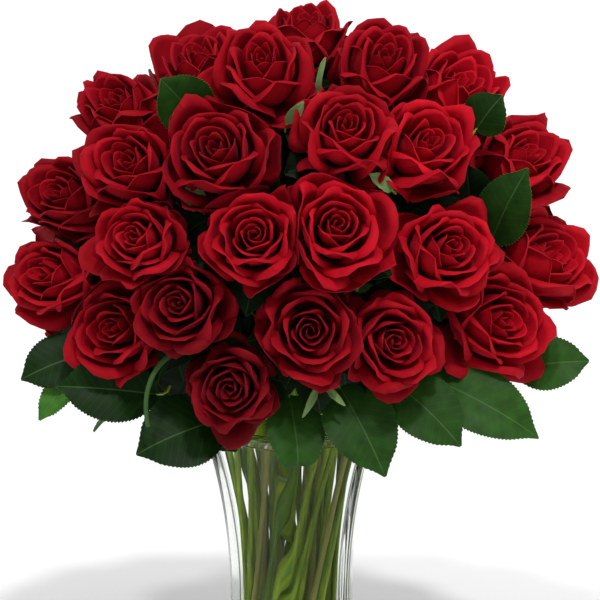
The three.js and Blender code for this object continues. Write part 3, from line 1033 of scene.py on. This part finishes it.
def bunch_of_stems():
    """Every stem in the order of the model's groups of three, from the lowest roses inwards."""

    def azimuth(own):
        return math.atan2(own["middle"][1], own["middle"][0])

    def fall(own):
        x, y, z = own["middle"]
        return math.hypot(x, y) / (z - DOME_FOCUS_HEIGHT / 2)

    waiting = sorted(FRAMES, key=fall, reverse=True)
    stems = []
    for count, share in TIERS:
        tier = sorted(waiting[:count], key=azimuth)
        waiting = waiting[count:]
        slots = [(i + 0.5) / count * 2 * math.pi - math.pi for i in range(count)]
        turned = sum(azimuth(own) - slot for own, slot in zip(tier, slots)) / count
        for i, own in enumerate(tier):
            mate = i % GROUP
            foot_angle = slots[i - mate + 1] + turned - BUNCH_TWIST
            foot = around_axis(share * BUNCH_FOOT_RADIUS, foot_angle, STEM_FOOT_HEIGHT)
            beside = (mate - 1) * FEET_SPACING
            foot += beside * np.array([-math.sin(foot_angle), math.cos(foot_angle), 0])
            top = around_axis(share * BUNCH_RIM_RADIUS, slots[i] + turned, STEM_STRAIGHT_TOP)
            stems.append(stem_curve(own, foot, top))
    return stems


def around_axis(radius, angle, height):
    return np.array([radius * math.cos(angle), radius * math.sin(angle), height])


def stem_curve(own, foot, top):
    neck = own["seat"] - own["axis"] * NECK_LENGTH
    lean = unit(top - foot)
    reach = np.linalg.norm(neck - top)
    curve = (top, top + lean * reach * RIM_BEND, neck - own["axis"] * reach * NECK_BEND, neck)
    return {"own": own, "foot": foot, "top": top, "curve": curve, "leaves": [], "bracts": []}


def nearest_on(path, spot):
    """The nearest point to a spot on a path of straight stretches, and how far off it is."""
    start, stretch = path[:-1], np.diff(path, axis=0)
    share = np.sum((spot - start) * stretch, axis=1) / np.sum(stretch * stretch, axis=1)
    found = start + stretch * np.clip(share, 0, 1)[:, None]
    away = np.linalg.norm(found - spot, axis=1)
    return found[away.argmin()], away.min()


def square_to(along, random):
    """A direction square to a stem's own, at an angle left to chance."""
    angle = random.uniform(0, 2 * math.pi)
    lead = unit(np.cross(along, (0.3, 0.5, 0.8)))
    return lead * math.cos(angle) + np.cross(along, lead) * math.sin(angle)


def collar_leaves():
    """The leaves round the back of the collar, which follow a rule."""
    leaves = []
    for i in range(COLLAR_LEAVES):
        angle = math.radians(COLLAR_START + COLLAR_SWEEP * i / (COLLAR_LEAVES - 1))
        tip_radius, tip_height, swing, height, width = COLLAR_LOW if i % 2 else COLLAR_HIGH

        def at(radius, swing, height, angle=angle):
            x = radius * math.cos(angle + swing)
            return (x, COLLAR_DEPTH * radius * math.sin(angle + swing), height)

        base = at(COLLAR_BASE_RADIUS, 0, height)
        tip = at(tip_radius, swing, tip_height)
        face = (math.cos(angle), math.sin(angle), 0.6)
        leaves.append((base, tip, width, face, COLLAR_SHADE))
    return leaves


def gap_leaves(own, random):
    """Leaves that stand on the stem close under a bloom and close the gaps beside it."""
    angles = []
    for other in FRAMES:
        way = other["middle"] - own["middle"]
        if other is not own and np.linalg.norm(way) < GAP_REACH:
            angles.append(math.atan2(way @ own["other"], way @ own["side"]))
    angles.sort()
    leaves = []
    for low, high in zip(angles, angles[1:] + [angles[0] + 2 * math.pi]):
        count = max(1, round((high - low) / GAP_LEAF_TURN))
        for k in range(count):
            angle = low + (k + 0.5) / count * (high - low)
            way = own["side"] * math.cos(angle) + own["other"] * math.sin(angle)
            base = own["seat"] - own["axis"] * random.uniform(*GAP_LEAF_STARTS)
            base = base + way * STEM_RADIUS * LEAF_ROOT
            lift = own["axis"] * random.uniform(*GAP_LEAF_LIFTS)
            tip = own["seat"] + way * random.uniform(*GAP_LEAF_TIPS) + lift
            shade = random.uniform(*GAP_LEAF_SHADES)
            leaves.append((base, tip, SMALL_LEAF_WIDTH, own["axis"], shade))
    return leaves


def deep_leaves(stem, random):
    """Leaves further down a stem, which darken the inside of the bunch."""
    leaves = []
    for t in DEEP_LEAF_PLACES:
        spot, ahead = bezier(stem["curve"], [t, t + 0.02])
        along = unit(ahead - spot)
        way = square_to(along, random)
        base = spot + way * STEM_RADIUS * LEAF_ROOT
        tip = base + way * random.uniform(*DEEP_LEAF_TIPS)
        tip = tip + along * random.uniform(*DEEP_LEAF_RISES)
        leaves.append((base, tip, SMALL_LEAF_WIDTH, along + 0.3 * UP, DEEP_LEAF_SHADE))
    return leaves


def add_stem(build, stem, random, thorn):
    """A round stem from its cut foot to the hip, with nodes and, above the vase, thorns."""
    own = stem["own"]
    up = np.linspace(0, 1, STRAIGHT_RINGS)[:, None]
    straight = stem["foot"] + (stem["top"] - stem["foot"]) * up
    curve = bezier(stem["curve"], np.linspace(0, 1, CURVED_RINGS)[1:])
    hip = own["seat"] + own["axis"] * np.array(HIP_LEVELS)[:, None]
    path = np.concatenate([straight, curve, hip])
    lengths = np.linalg.norm(np.diff(path, axis=0), axis=1)
    along = np.concatenate([[0], np.cumsum(lengths)])
    stem_end = along[-len(hip) - 1]
    radii = np.full(len(path), STEM_RADIUS * random.uniform(*STEM_GIRTHS))
    for spot in np.arange(random.uniform(*FIRST_NODES), stem_end - 25, NODE_SPACING):
        radii += NODE_SWELLING * np.exp(-(((along - spot) / NODE_LENGTH) ** 2))
    radii[-len(hip) :] = HIP_RADII
    rings = tube_points(path, radii, STEM_SIDES)
    share = np.arange(STEM_SIDES) / STEM_SIDES
    places = np.zeros(rings.shape)
    places[..., 0] = share * BARK_GIRTH
    places[..., 1] = along[:, None]
    places[..., 2] = smooth(along, stem_end - 20, stem_end + 6)[:, None]
    build.add(rings, tube_faces(len(path), STEM_SIDES), places, BARK, random.uniform(0, 1))
    for spot in np.arange(THORNS_FROM + random.uniform(0, 30), stem_end - 12, THORN_SPACING):
        k = int(np.searchsorted(along, spot))
        if k + 1 >= len(path):
            continue
        add_thorn(build, path[k], unit(path[k + 1] - path[k]), radii[k], thorn, random)
    for k in range(SEPALS):
        add_sepal(build, own, (k + 0.5) / SEPALS * 2 * math.pi + 0.3, random)


def add_thorn(build, centre, along, radius, height, random):
    """A hooked thorn with a long oval foot."""
    out = square_to(along, random)
    across = np.cross(along, out)
    angles = np.arange(THORN_SIDES) / THORN_SIDES * 2 * math.pi
    rings = []
    for lift, long, wide, drop in THORN_LEVELS:
        ring = np.outer(np.cos(angles) * long - drop, along)
        ring = ring + np.outer(np.sin(angles) * wide, across)
        rings.append(centre + out * (radius + lift * height / THORN_HEIGHT) + ring)
    tip = centre + out * (radius + height) - along * THORN_HOOK
    rings.append(tip + THORN_TIP * (rings[-1] - rings[-1].mean(axis=0)))
    places = np.zeros((len(rings), len(angles), 3))
    places[..., 1] = THORN_PLACE
    build.add(np.array(rings), tube_faces(len(rings), len(angles)), places, BARK)


def add_sepal(build, own, angle, random):
    """One of the five long green tips that fold back from the hip."""
    t = np.array(SEPAL_STEPS)
    long = random.uniform(0.9, 1.05)
    middle = bezier(((3.6, -2.2), (14 * long, 1.5), (SEPAL_LENGTH * long, -9)), t)
    half = np.interp(t, *SEPAL_HALF_WIDTHS)
    v = np.linspace(-1, 1, 5)
    sway = angle + random.uniform(-0.12, 0.12)
    radial = middle[:, 0, None] + 0 * v
    beside = half[:, None] * v
    lift = middle[:, 1, None] + SEPAL_CUP * half[:, None] * v * v - 0.8
    x = radial * math.cos(sway) - beside * math.sin(sway)
    y = radial * math.sin(sway) + beside * math.cos(sway)
    grid = pressed(own, in_frame(own, x, y, lift))
    thickness = np.interp(t, *SEPAL_THICKNESSES)[:, None] + 0 * v
    reach = t[:, None] * SEPAL_LENGTH + 0 * v
    places = np.stack(np.broadcast_arrays(beside, reach, 0 * v), axis=-1)
    sheets = thin_sheets(grid[:, ::-1], thickness)
    both = np.stack([places[:, ::-1]] * 2)
    build.add(sheets, sheet_faces(len(t), len(v)), both, DOWN)


def rolled_under(middle, face):
    """The mid line of a leaf with its last stretch wound back, away from its face."""
    steps = np.linalg.norm(np.diff(middle, axis=0), axis=1)
    reach = np.concatenate([[0], np.cumsum(steps)])
    begins = reach[-1] - ROLLED_LENGTH
    before = np.argmax(reach > begins) - 1
    heading = unit(middle[before + 1] - middle[before])
    start = middle[before] + heading * (begins - reach[before])
    back = -unit(face - heading * (face @ heading))
    radius = ROLLED_LENGTH / ROLLED_TURN
    turn = (np.maximum(reach - begins, 0) / radius)[:, None]
    wound = start + radius * (np.sin(turn) * heading + (1 - np.cos(turn)) * back)
    return np.where(turn > 0, wound, middle)


def add_leaf(build, leaf, look, random, tooth=1.0, lanes=LEAF_LANES, finish=WAX):
    """A toothed leaf: folded along its rib, arched, quilted between its side veins."""
    base, tip, width, face, shade = (np.array(value, float) for value in leaf)
    face = unit(face)
    length = np.linalg.norm(tip - base)
    arch = (base + tip) / 2 + face * length * LEAF_ARCH

    # Two rows of points for each tooth, and the half width at each row.
    teeth = int(round(length / (look.tooth_spacing / MM * tooth)))
    steps = np.arange(teeth)[:, None] + np.array([0.0, TOOTH_PEAK])
    t = np.append(steps.ravel(), teeth - 0.05) / teeth
    peak = np.append(np.tile([0.0, 1.0], teeth), 0)
    rising = (1 - (1 - np.minimum(t, LEAF_BELLY) / LEAF_BELLY) ** 2) ** 0.6
    falling = np.cos(math.pi / 2 * np.clip((t - LEAF_BELLY) / (1 - LEAF_BELLY), 0, 1)) ** 0.85
    half = width / 2 * rising * falling * (1 - 0.3 * smooth(t, 0.78, 0.97))

    def tooth_heights(half):
        return (peak - 0.35) * TOOTH_DEPTH * smooth(half, 2, 8)

    half = half + tooth_heights(half) + 0.3

    # The mid line, and the way across and up from it.
    middle = bezier((base, arch, tip), t)
    if leaf is ROLLED_LEAF:
        middle = rolled_under(middle, face)
    along = unit(np.gradient(middle, axis=0))
    across = np.broadcast_to(unit(np.cross(tip - base, face)), middle.shape)
    raise_way = np.cross(across, along)

    # The blade rises from the rib, sinks at each side vein and waves along its edge.
    v = np.array(lanes)
    inner = half - tooth_heights(half)
    reach = np.where(np.abs(v) == 1, half[:, None], inner[:, None]) * v
    far = np.abs(reach)
    spacing = look.vein_spacing / MM
    ribs = (t * length)[:, None] - VEIN_SLANT * far + VEIN_BEND * far * far
    lift = LEAF_FOLD * far - LEAF_FLATTENING * far * far
    lift = lift - VEIN_SINKING * np.cos(2 * math.pi * ribs / spacing) * smooth(far, 1, 6)
    wave = LEAF_WAVE * np.sin(t * 9 + random.uniform(0, 6))
    lift = lift + wave[:, None] * np.sign(v) * smooth(np.abs(v), 0.3, 1.3)
    on_rib = np.abs(v) < RIB_LANES
    lift = lift - 0.5 * on_rib
    grid = middle[:, None] + across[:, None] * reach[..., None]
    grid = grid + raise_way[:, None] * lift[..., None]

    # The third place tells the upper side from the lower one.
    thickness = np.where(on_rib, RIB_THICKNESS, BLADE_THICKNESS)[None, :] + 0 * reach
    places = np.stack([reach, (t * length)[:, None] + 0 * reach, 0 * reach], axis=-1)
    sheets = thin_sheets(grid[:, ::-1], thickness)
    upper = places.copy()
    upper[..., 2] = 1
    towards = np.cross(np.gradient(grid[:, ::-1], axis=1), np.gradient(grid[:, ::-1], axis=0))
    outer_is_up = np.mean(towards @ face) > 0
    pair = [upper, places] if outer_is_up else [places, upper]
    both = np.stack([side[:, ::-1] for side in pair])
    build.add(sheets, sheet_faces(len(t), len(v)), both, finish, float(shade))


def add_stalk(build, leaf, path):
    """The stalk that joins a leaf to its stem."""
    base, tip = (np.array(value, float) for value in leaf[:2])
    along = unit(tip - base)
    start, _ = nearest_on(path, base)
    bend = np.linalg.norm(base - start) * 0.4
    ends = (start, base - along * bend, base + along * 2)
    stalk = bezier(ends, np.linspace(0, 1, STALK_RINGS))
    rings = tube_points(stalk, np.linspace(*STALK_RADII, STALK_RINGS), STALK_SIDES)
    places = np.zeros(rings.shape)
    places[..., 1] = STALK_PLACE
    places[..., 2] = 0.6
    build.add(rings, tube_faces(STALK_RINGS, STALK_SIDES), places, BARK, STALK_TONE)


def add_shoot(build, path):
    """The bare shoot, from the stem that bears it."""
    start, _ = nearest_on(path, np.array(SHOOT[0], float))
    spots = np.concatenate([[start], bezier(SHOOT, np.linspace(0.08, 1, 16))])
    radii = np.linspace(*SHOOT_RADII, len(spots))
    rings = tube_points(spots, radii, SHOOT_SIDES)
    places = np.zeros(rings.shape)
    places[..., 0] = SHOOT_PLACE
    places[..., 1] = np.linspace(0, 90, len(spots))[:, None]
    build.add(rings, tube_faces(len(spots), SHOOT_SIDES), places, WAX, SHOOT_SHADE)


def stem_skin(look):
    """Living rose stem: smooth waxy bark, yellow-green with darker streaks along it."""
    material, tree = new_material("rose_stem_bark")
    place = add_node(tree, "ShaderNodeAttribute", attribute_name="place")
    # Streaks about 1.5 mm wide and 20 mm long.
    stretched = add_node(
        tree,
        "ShaderNodeVectorMath",
        {0: place.outputs["Vector"], 1: (0.7, 0.05, 1.0)},
        operation="MULTIPLY",
    )
    streaks = add_node(
        tree,
        "ShaderNodeTexNoise",
        {"Vector": stretched.outputs[0], "Scale": 1.0, "Detail": 3.0},
    )
    # Over the bright green lie the streaks, both lighter than a real stem's: painted light for the
    # stems seen through the glass and water. Young stems are yellow-green and old ones a deep green,
    # and the woodiest have a pale olive-brown bark.
    tone = add_node(tree, "ShaderNodeAttribute", attribute_name="tone")
    colour = rgba(look.stem)
    for value, low, high, most, code in (
        (streaks.outputs[0], 0.35, 0.7, 1.0, "76A03C"),
        (tone.outputs["Fac"], 0.2, 0.8, 0.75, "175A1E"),
        (tone.outputs["Fac"], 0.8, 0.84, 0.85, "B5B060"),
    ):
        share = add_node(
            tree,
            "ShaderNodeMapRange",
            {"Value": value, "From Min": low, "From Max": high, "To Max": most},
        )
        mixed = add_node(
            tree,
            "ShaderNodeMix",
            {SHARE: share.outputs[0], FIRST: colour, SECOND: rgba(linear(code))},
            data_type="RGBA",
        )
        colour = mixed.outputs[2]
    bump = add_node(
        tree,
        "ShaderNodeBump",
        {"Height": streaks.outputs[0], "Strength": 0.4, "Distance": 0.3 * MM},
    )
    shader = add_node(
        tree,
        "ShaderNodeBsdfPrincipled",
        {
            "Base Color": colour,
            "Roughness": 0.42,
            "IOR": 1.45,
            "Specular IOR Level": 0.2,
            "Normal": bump.outputs[0],
        },
    )
    add_node(tree, "ShaderNodeOutputMaterial", {"Surface": shader.outputs[0]})
    return material


def leaf_skin(look):
    """Rose leaf: satin wax over dark green, with paler ribs and a dull underside."""
    material, tree = new_material("rose_leaf_wax")
    place = add_node(tree, "ShaderNodeAttribute", attribute_name="place")
    parts = add_node(tree, "ShaderNodeSeparateXYZ", {0: place.outputs["Vector"]})
    far = add_node(tree, "ShaderNodeMath", {0: parts.outputs[0]}, operation="ABSOLUTE")
    slanted = add_node(
        tree,
        "ShaderNodeMath",
        {0: far.outputs[0], 1: -0.72, 2: parts.outputs[1]},
        operation="MULTIPLY_ADD",
    )
    spacing = look.vein_spacing / MM
    near_vein = add_node(
        tree, "ShaderNodeMath", {0: slanted.outputs[0], 1: spacing / 2}, operation="PINGPONG"
    )
    paleness = [
        add_node(
            tree,
            "ShaderNodeMapRange",
            {
                "Value": distance,
                "From Min": low,
                "From Max": high,
                "To Min": most,
                "To Max": 0.0,
            },
        ).outputs[0]
        for distance, low, high, most in (
            (near_vein.outputs[0], 0.1, 0.6, 0.07),
            (far.outputs[0], 0.2, 0.8, 0.4),
        )
    ]
    lines = add_node(
        tree, "ShaderNodeMath", {0: paleness[0], 1: paleness[1]}, operation="MAXIMUM"
    )
    # The fine net of veins has meshes about 1.3 mm wide.
    net = add_node(
        tree,
        "ShaderNodeTexVoronoi",
        {"Vector": place.outputs["Vector"], "Scale": 0.75},
        feature="DISTANCE_TO_EDGE",
    )
    blotch = add_node(
        tree, "ShaderNodeTexNoise", {"Vector": place.outputs["Vector"], "Scale": 0.06}
    )
    dark_share = add_node(
        tree,
        "ShaderNodeMapRange",
        {"Value": blotch.outputs[0], "From Min": 0.35, "From Max": 0.65},
    )
    # Young leaves are a brighter green; the same shade also paints light and shade on single leaves.
    tone = add_node(tree, "ShaderNodeAttribute", attribute_name="tone")
    young_and_lit_green = add_node(
        tree,
        "ShaderNodeMix",
        {SHARE: tone.outputs["Fac"], FIRST: rgba(look.leaf), SECOND: rgba(linear("3F6F28"))},
        data_type="RGBA",
    )
    darker = add_node(
        tree, "ShaderNodeHueSaturation", {"Value": 0.6, "Color": young_and_lit_green.outputs[2]}
    )
    upper = add_node(
        tree,
        "ShaderNodeMix",
        {SHARE: dark_share.outputs[0], FIRST: young_and_lit_green.outputs[2], SECOND: darker.outputs[0]},
        data_type="RGBA",
    )
    veined = add_node(
        tree,
        "ShaderNodeMix",
        {SHARE: lines.outputs[0], FIRST: upper.outputs[2], SECOND: rgba(linear("50753A"))},
        data_type="RGBA",
    )
    faced = add_node(
        tree,
        "ShaderNodeMix",
        {SHARE: parts.outputs[2], FIRST: rgba(look.leaf_under), SECOND: veined.outputs[2]},
        data_type="RGBA",
    )
    # Leaves deep in the bunch are darkened to nearly black: painted shade.
    painted_inner_shade = add_node(
        tree,
        "ShaderNodeMapRange",
        {"Value": tone.outputs["Fac"], "From Min": -1.0, "From Max": 0.0, "To Min": 0.2},
    )
    shaded = add_node(
        tree, "ShaderNodeHueSaturation", {"Value": painted_inner_shade.outputs[0], "Color": faced.outputs[2]}
    )
    sunk = add_node(
        tree,
        "ShaderNodeMath",
        {0: lines.outputs[0], 1: -0.6, 2: net.outputs[0]},
        operation="MULTIPLY_ADD",
    )
    bump = add_node(
        tree,
        "ShaderNodeBump",
        {"Height": sunk.outputs[0], "Strength": 0.3, "Distance": 0.25 * MM},
    )
    shader = add_node(
        tree,
        "ShaderNodeBsdfPrincipled",
        {
            "Base Color": shaded.outputs[0],
            "Roughness": 0.46,
            "IOR": 1.45,
            "Specular IOR Level": 0.08,
            "Normal": bump.outputs[0],
        },
    )
    add_node(tree, "ShaderNodeOutputMaterial", {"Surface": shader.outputs[0]})
    return material


def sepal_skin(look):
    """Rose sepal and hip: matt pale green with fine down."""
    material, tree = new_material("rose_sepal_down")
    place = add_node(tree, "ShaderNodeAttribute", attribute_name="place")
    # Down in tufts about 0.8 mm apart, stretched along the sepal.
    stretched = add_node(
        tree,
        "ShaderNodeVectorMath",
        {0: place.outputs["Vector"], 1: (1.2, 0.3, 1.0)},
        operation="MULTIPLY",
    )
    down = add_node(
        tree,
        "ShaderNodeTexNoise",
        {"Vector": stretched.outputs[0], "Scale": 1.0, "Detail": 2.0},
    )
    colour = add_node(
        tree,
        "ShaderNodeMix",
        {SHARE: down.outputs[0], FIRST: rgba(look.sepal), SECOND: rgba(linear("5B7A3E"))},
        data_type="RGBA",
    )
    bump = add_node(
        tree,
        "ShaderNodeBump",
        {"Height": down.outputs[0], "Strength": 0.4, "Distance": 0.3 * MM},
    )
    shader = add_node(
        tree,
        "ShaderNodeBsdfPrincipled",
        {
            "Base Color": colour.outputs[2],
            "Roughness": 0.6,
            "IOR": 1.42,
            "Sheen Weight": 0.2,
            "Normal": bump.outputs[0],
        },
    )
    add_node(tree, "ShaderNodeOutputMaterial", {"Surface": shader.outputs[0]})
    return material


class BOUQUET_OT_greenery(bpy.types.Operator):
    """Builds the stems with their sepals, thorns and leaves, three stems to a piece"""

    bl_idname = "bouquet.greenery"
    bl_label = "Add Stems and Leaves"

    def execute(self, context):
        look = context.scene.bouquet_greenery
        stems = bunch_of_stems()
        coarse = [bezier(s["curve"], np.linspace(0, 1, CAD_CURVE_STEPS + 1)) for s in stems]

        def bearer_of(base):
            away = [nearest_on(path, np.array(base, float))[1] for path in coarse]
            return stems[int(np.argmin(away))]

        for leaf in (*LEAVES, *collar_leaves()):
            bearer_of(leaf[0])["leaves"].append(leaf)
        for bract in BRACTS:
            bearer_of(bract[0])["bracts"].append(bract)
        materials = [stem_skin(look), leaf_skin(look), sepal_skin(look)]
        random = np.random.default_rng(GREENERY_SEED)
        for start in range(0, len(stems), GROUP):
            number = start // GROUP + 1
            build = Build()
            for stem in stems[start : start + GROUP]:
                add_stem(build, stem, random, look.thorn / MM)
                path = bezier(stem["curve"], np.linspace(0, 1, 60))
                for leaf in stem["leaves"]:
                    add_leaf(build, leaf, look, random)
                    add_stalk(build, leaf, path)
                for leaf in stem["bracts"]:
                    add_leaf(build, leaf, look, random, SMALL_LEAF_TEETH, SMALL_LEAF_LANES, DOWN)
                    add_stalk(build, leaf, path)
                if stem is bearer_of(SHOOT[0]):
                    add_shoot(build, path)
                for leaf in (*gap_leaves(stem["own"], random), *deep_leaves(stem, random)):
                    add_leaf(build, leaf, look, random, SMALL_LEAF_TEETH, SMALL_LEAF_LANES)
            build.piece(
                f"stems_and_leaves_{number:02d}",
                [f"leafy_stems_{number:02d}"],
                materials,
            )
        return {"FINISHED"}


# Vase and water


def vase_radius(height):
    """The vase's radius across its corners: a gentle foot, a waist and a flared mouth."""
    flare = height > VASE_WAIST_HEIGHT
    reach = VASE_HEIGHT - VASE_WAIST_HEIGHT if flare else VASE_WAIST_HEIGHT
    end = VASE_RIM_RADIUS if flare else VASE_FOOT_RADIUS
    share = (height - VASE_WAIST_HEIGHT) / reach
    return VASE_WAIST_RADIUS + (end - VASE_WAIST_RADIUS) * share * share


def hexagon(height, inset):
    """A ring of the vase with softly rounded corners. Inset is measured square to its sides."""
    across = vase_radius(height) - inset / math.cos(math.pi / VASE_SIDES)
    angles = np.arange(VASE_SIDES) / VASE_SIDES * 2 * math.pi - math.pi / 2 + VASE_TURN
    corners = np.stack([across * np.cos(angles), across * np.sin(angles)], axis=1)
    ring = []
    for i, corner in enumerate(corners):
        to_last = corners[i - 1] - corner
        to_next = corners[(i + 1) % VASE_SIDES] - corner
        before = corner + to_last * VASE_CORNER_BEVEL
        after = corner + to_next * VASE_CORNER_BEVEL
        ring.append(corner + to_last * VASE_FLAT_START)
        ring.extend(bezier((before, corner, after), np.linspace(0, 1, 7)))
        ring.append(corner + to_next * VASE_FLAT_START)
    return np.column_stack([np.array(ring), np.full(len(ring), float(height))])


def floor_corner(floor, inset, turns):
    """The rounded corner between the inner floor and the wall, in pairs of height and inset."""
    sine = [FLOOR_ROUND * math.sin(a) for a in turns]
    cosine = [FLOOR_ROUND * math.cos(a) for a in turns]
    return [(floor + FLOOR_ROUND - s, inset + FLOOR_ROUND - c) for s, c in zip(sine, cosine)]


def six_sided_piece(levels, name, node, material):
    """Makes one closed piece of rings of the vase's form, through pairs of height and inset."""
    rings = np.array([hexagon(height, inset) for height, inset in levels])
    build = Build()
    build.add(rings, tube_faces(len(rings), len(rings[0])), np.zeros(rings.shape))
    build.piece(name, [node], [material], sharp=60)


def see_through(name, tint, bend):
    """A clear, perfectly smooth material, with its faint tint and how strongly it bends light."""
    material, tree = new_material(name)
    shader = add_node(
        tree,
        "ShaderNodeBsdfPrincipled",
        {
            "Base Color": rgba(tint),
            "Roughness": 0.0,
            "IOR": bend,
            "Specular Tint": rgba(linear(DIM_REFLECTION)),
            "Transmission Weight": 1.0,
        },
    )
    add_node(tree, "ShaderNodeOutputMaterial", {"Surface": shader.outputs[0]})
    return material


class BOUQUET_OT_vase(bpy.types.Operator):
    """Builds the glass vase"""

    bl_idname = "bouquet.vase"
    bl_label = "Add Vase"

    def execute(self, context):
        look = context.scene.bouquet_vase
        quarter = np.linspace(0, math.pi / 2, 5)
        levels = [(0.0, FOOT_FLAT_INSET)]
        for a in quarter:
            height = FOOT_ROUND - FOOT_ROUND * math.cos(a)
            levels.append((height, FOOT_ROUND - FOOT_ROUND * math.sin(a)))
        edge = VASE_WALL / 2
        lip = VASE_HEIGHT - edge
        levels += [(height, 0.0) for height in np.linspace(6, lip - 3, WALL_RINGS)]
        half = np.linspace(0, math.pi, 9)
        levels += [(lip + edge * math.sin(a), edge - edge * math.cos(a)) for a in half]
        inner = np.linspace(lip - 3, VASE_FLOOR + 8, WALL_RINGS)
        levels += [(height, VASE_WALL) for height in inner]
        levels += floor_corner(VASE_FLOOR, VASE_WALL, quarter)
        levels.append((VASE_FLOOR, VASE_WALL + FLOOR_FLAT_INSET))
        # Pressed soda glass, fire-polished: perfectly smooth, clear, faintly grey-green.
        glass = see_through("pressed_clear_glass", look.glass, 1.52)
        six_sided_piece(levels, "vase_glass", "vase", glass)
        return {"FINISHED"}


class BOUQUET_OT_water(bpy.types.Operator):
    """Builds the water in the vase"""

    bl_idname = "bouquet.water"
    bl_label = "Add Water"

    def execute(self, context):
        look = context.scene.bouquet_vase
        level = look.level / MM
        floor = VASE_FLOOR - WETTING
        wet = VASE_WALL - WETTING
        levels = [(floor, wet + FLOOR_FLAT_INSET)]
        levels += floor_corner(floor, wet, np.linspace(math.pi / 2, 0, 5))
        levels += [(height, wet) for height in np.linspace(VASE_FLOOR + 8, level - 1, 30)]
        # The surface climbs the glass by about a millimetre and a half.
        levels += [(level + 1.4, wet), (level + 0.7, wet + 0.6), (level + 0.25, wet + 1.5)]
        levels += [(level, wet + 3), (level, wet + 6)]
        # Tap water, still: no ripple, and a faint green cast from the stems.
        water = see_through("still_water", look.water, 1.33)
        six_sided_piece(levels, "vase_water", "water", water)
        return {"FINISHED"}


# Stage


class BOUQUET_OT_studio(bpy.types.Operator):
    """Sets the floor, the soft studio light and the camera"""

    bl_idname = "bouquet.studio"
    bl_label = "Add Studio"

    def execute(self, context):
        look = context.scene.bouquet_studio
        scene = context.scene
        # The floor lies a hair under the vase's foot.
        angles = np.arange(96) / 96 * 2 * math.pi
        ring = np.stack([np.cos(angles), np.sin(angles), 0 * angles], axis=1)
        ring = ring * look.floor_radius + (0, 0, -0.2 * MM)
        mesh = bpy.data.meshes.new("studio_floor")
        mesh.from_pydata(ring.tolist(), [], [tuple(range(len(ring)))])
        floor = bpy.data.objects.new("studio_floor", mesh)
        scene.collection.objects.link(floor)
        material, tree = new_material("matt_white_board")
        shader = add_node(
            tree,
            "ShaderNodeBsdfPrincipled",
            {"Base Color": rgba(look.floor), "Roughness": 0.9, "Specular IOR Level": 0.1},
        )
        add_node(tree, "ShaderNodeOutputMaterial", {"Surface": shader.outputs[0]})
        mesh.materials.append(material)

        # Each lamp's strength, and in degrees how wide it looks and where it stands. The two keys
        # throw the two soft shadows to the left and right.
        for name, strength, width, azimuth, elevation in (
            ("key_left", look.key * 0.36, 5, -14, 54),
            ("key_right", look.key * 0.64, 5, 15, 54),
            ("fill", look.fill, 45, 35, 60),
        ):
            light = bpy.data.lights.new(f"studio_{name}", "SUN")
            light.energy = strength
            light.angle = math.radians(width)
            lamp = bpy.data.objects.new(f"studio_{name}", light)
            lamp.rotation_euler = (math.radians(90 - elevation), 0, math.radians(azimuth))
            scene.collection.objects.link(lamp)

        world = bpy.data.worlds.new("studio_room")
        world.use_nodes = True
        world.node_tree.nodes["Background"].inputs["Color"].default_value = (1, 1, 1, 1)
        world.node_tree.nodes["Background"].inputs["Strength"].default_value = look.sky
        scene.world = world
        scene.view_settings.view_transform = "Standard"

        camera = bpy.data.cameras.new("studio_camera")
        camera.angle = look.view
        camera.clip_start = 0.1
        camera.clip_end = 200
        eye = bpy.data.objects.new("studio_camera", camera)
        back = np.array([0, -math.cos(CAMERA_ELEVATION), math.sin(CAMERA_ELEVATION)])
        eye.location = np.array(CAMERA_AIM) * MM + back * look.distance
        eye.rotation_euler = (math.radians(90) - CAMERA_ELEVATION, 0, 0)
        scene.collection.objects.link(eye)
        scene.camera = eye
        return {"FINISHED"}


class BOUQUET_PT_panel(bpy.types.Panel):
    """Lists the steps and their settings"""

    bl_idname = "BOUQUET_PT_panel"
    bl_label = "Roses in a Vase"
    bl_space_type = "VIEW_3D"
    bl_region_type = "UI"
    bl_category = "Roses"

    def draw(self, context):
        for step, settings in STEPS:
            box = self.layout.box()
            box.operator(step.bl_idname)
            group = getattr(context.scene, settings)
            for name in type(group).__annotations__:
                box.prop(group, name)


STEPS = (
    (BOUQUET_OT_studio, "bouquet_studio"),
    (BOUQUET_OT_vase, "bouquet_vase"),
    (BOUQUET_OT_water, "bouquet_vase"),
    (BOUQUET_OT_greenery, "bouquet_greenery"),
    (BOUQUET_OT_roses, "bouquet_blooms"),
)
SETTINGS = {
    "bouquet_blooms": BloomSettings,
    "bouquet_greenery": GreenerySettings,
    "bouquet_vase": VaseSettings,
    "bouquet_studio": StudioSettings,
}


def register():
    for name, group in SETTINGS.items():
        bpy.utils.register_class(group)
        setattr(bpy.types.Scene, name, PointerProperty(type=group))
    for step, _ in STEPS:
        bpy.utils.register_class(step)
    bpy.utils.register_class(BOUQUET_PT_panel)


def unregister():
    bpy.utils.unregister_class(BOUQUET_PT_panel)
    for step, _ in STEPS:
        bpy.utils.unregister_class(step)
    for name, group in SETTINGS.items():
        delattr(bpy.types.Scene, name)
        bpy.utils.unregister_class(group)


def main():
    register()
    bpy.ops.bouquet.studio()
    bpy.ops.bouquet.vase()
    bpy.ops.bouquet.water()
    bpy.ops.bouquet.greenery()
    bpy.ops.bouquet.roses()


if __name__ == "__main__":
    main()
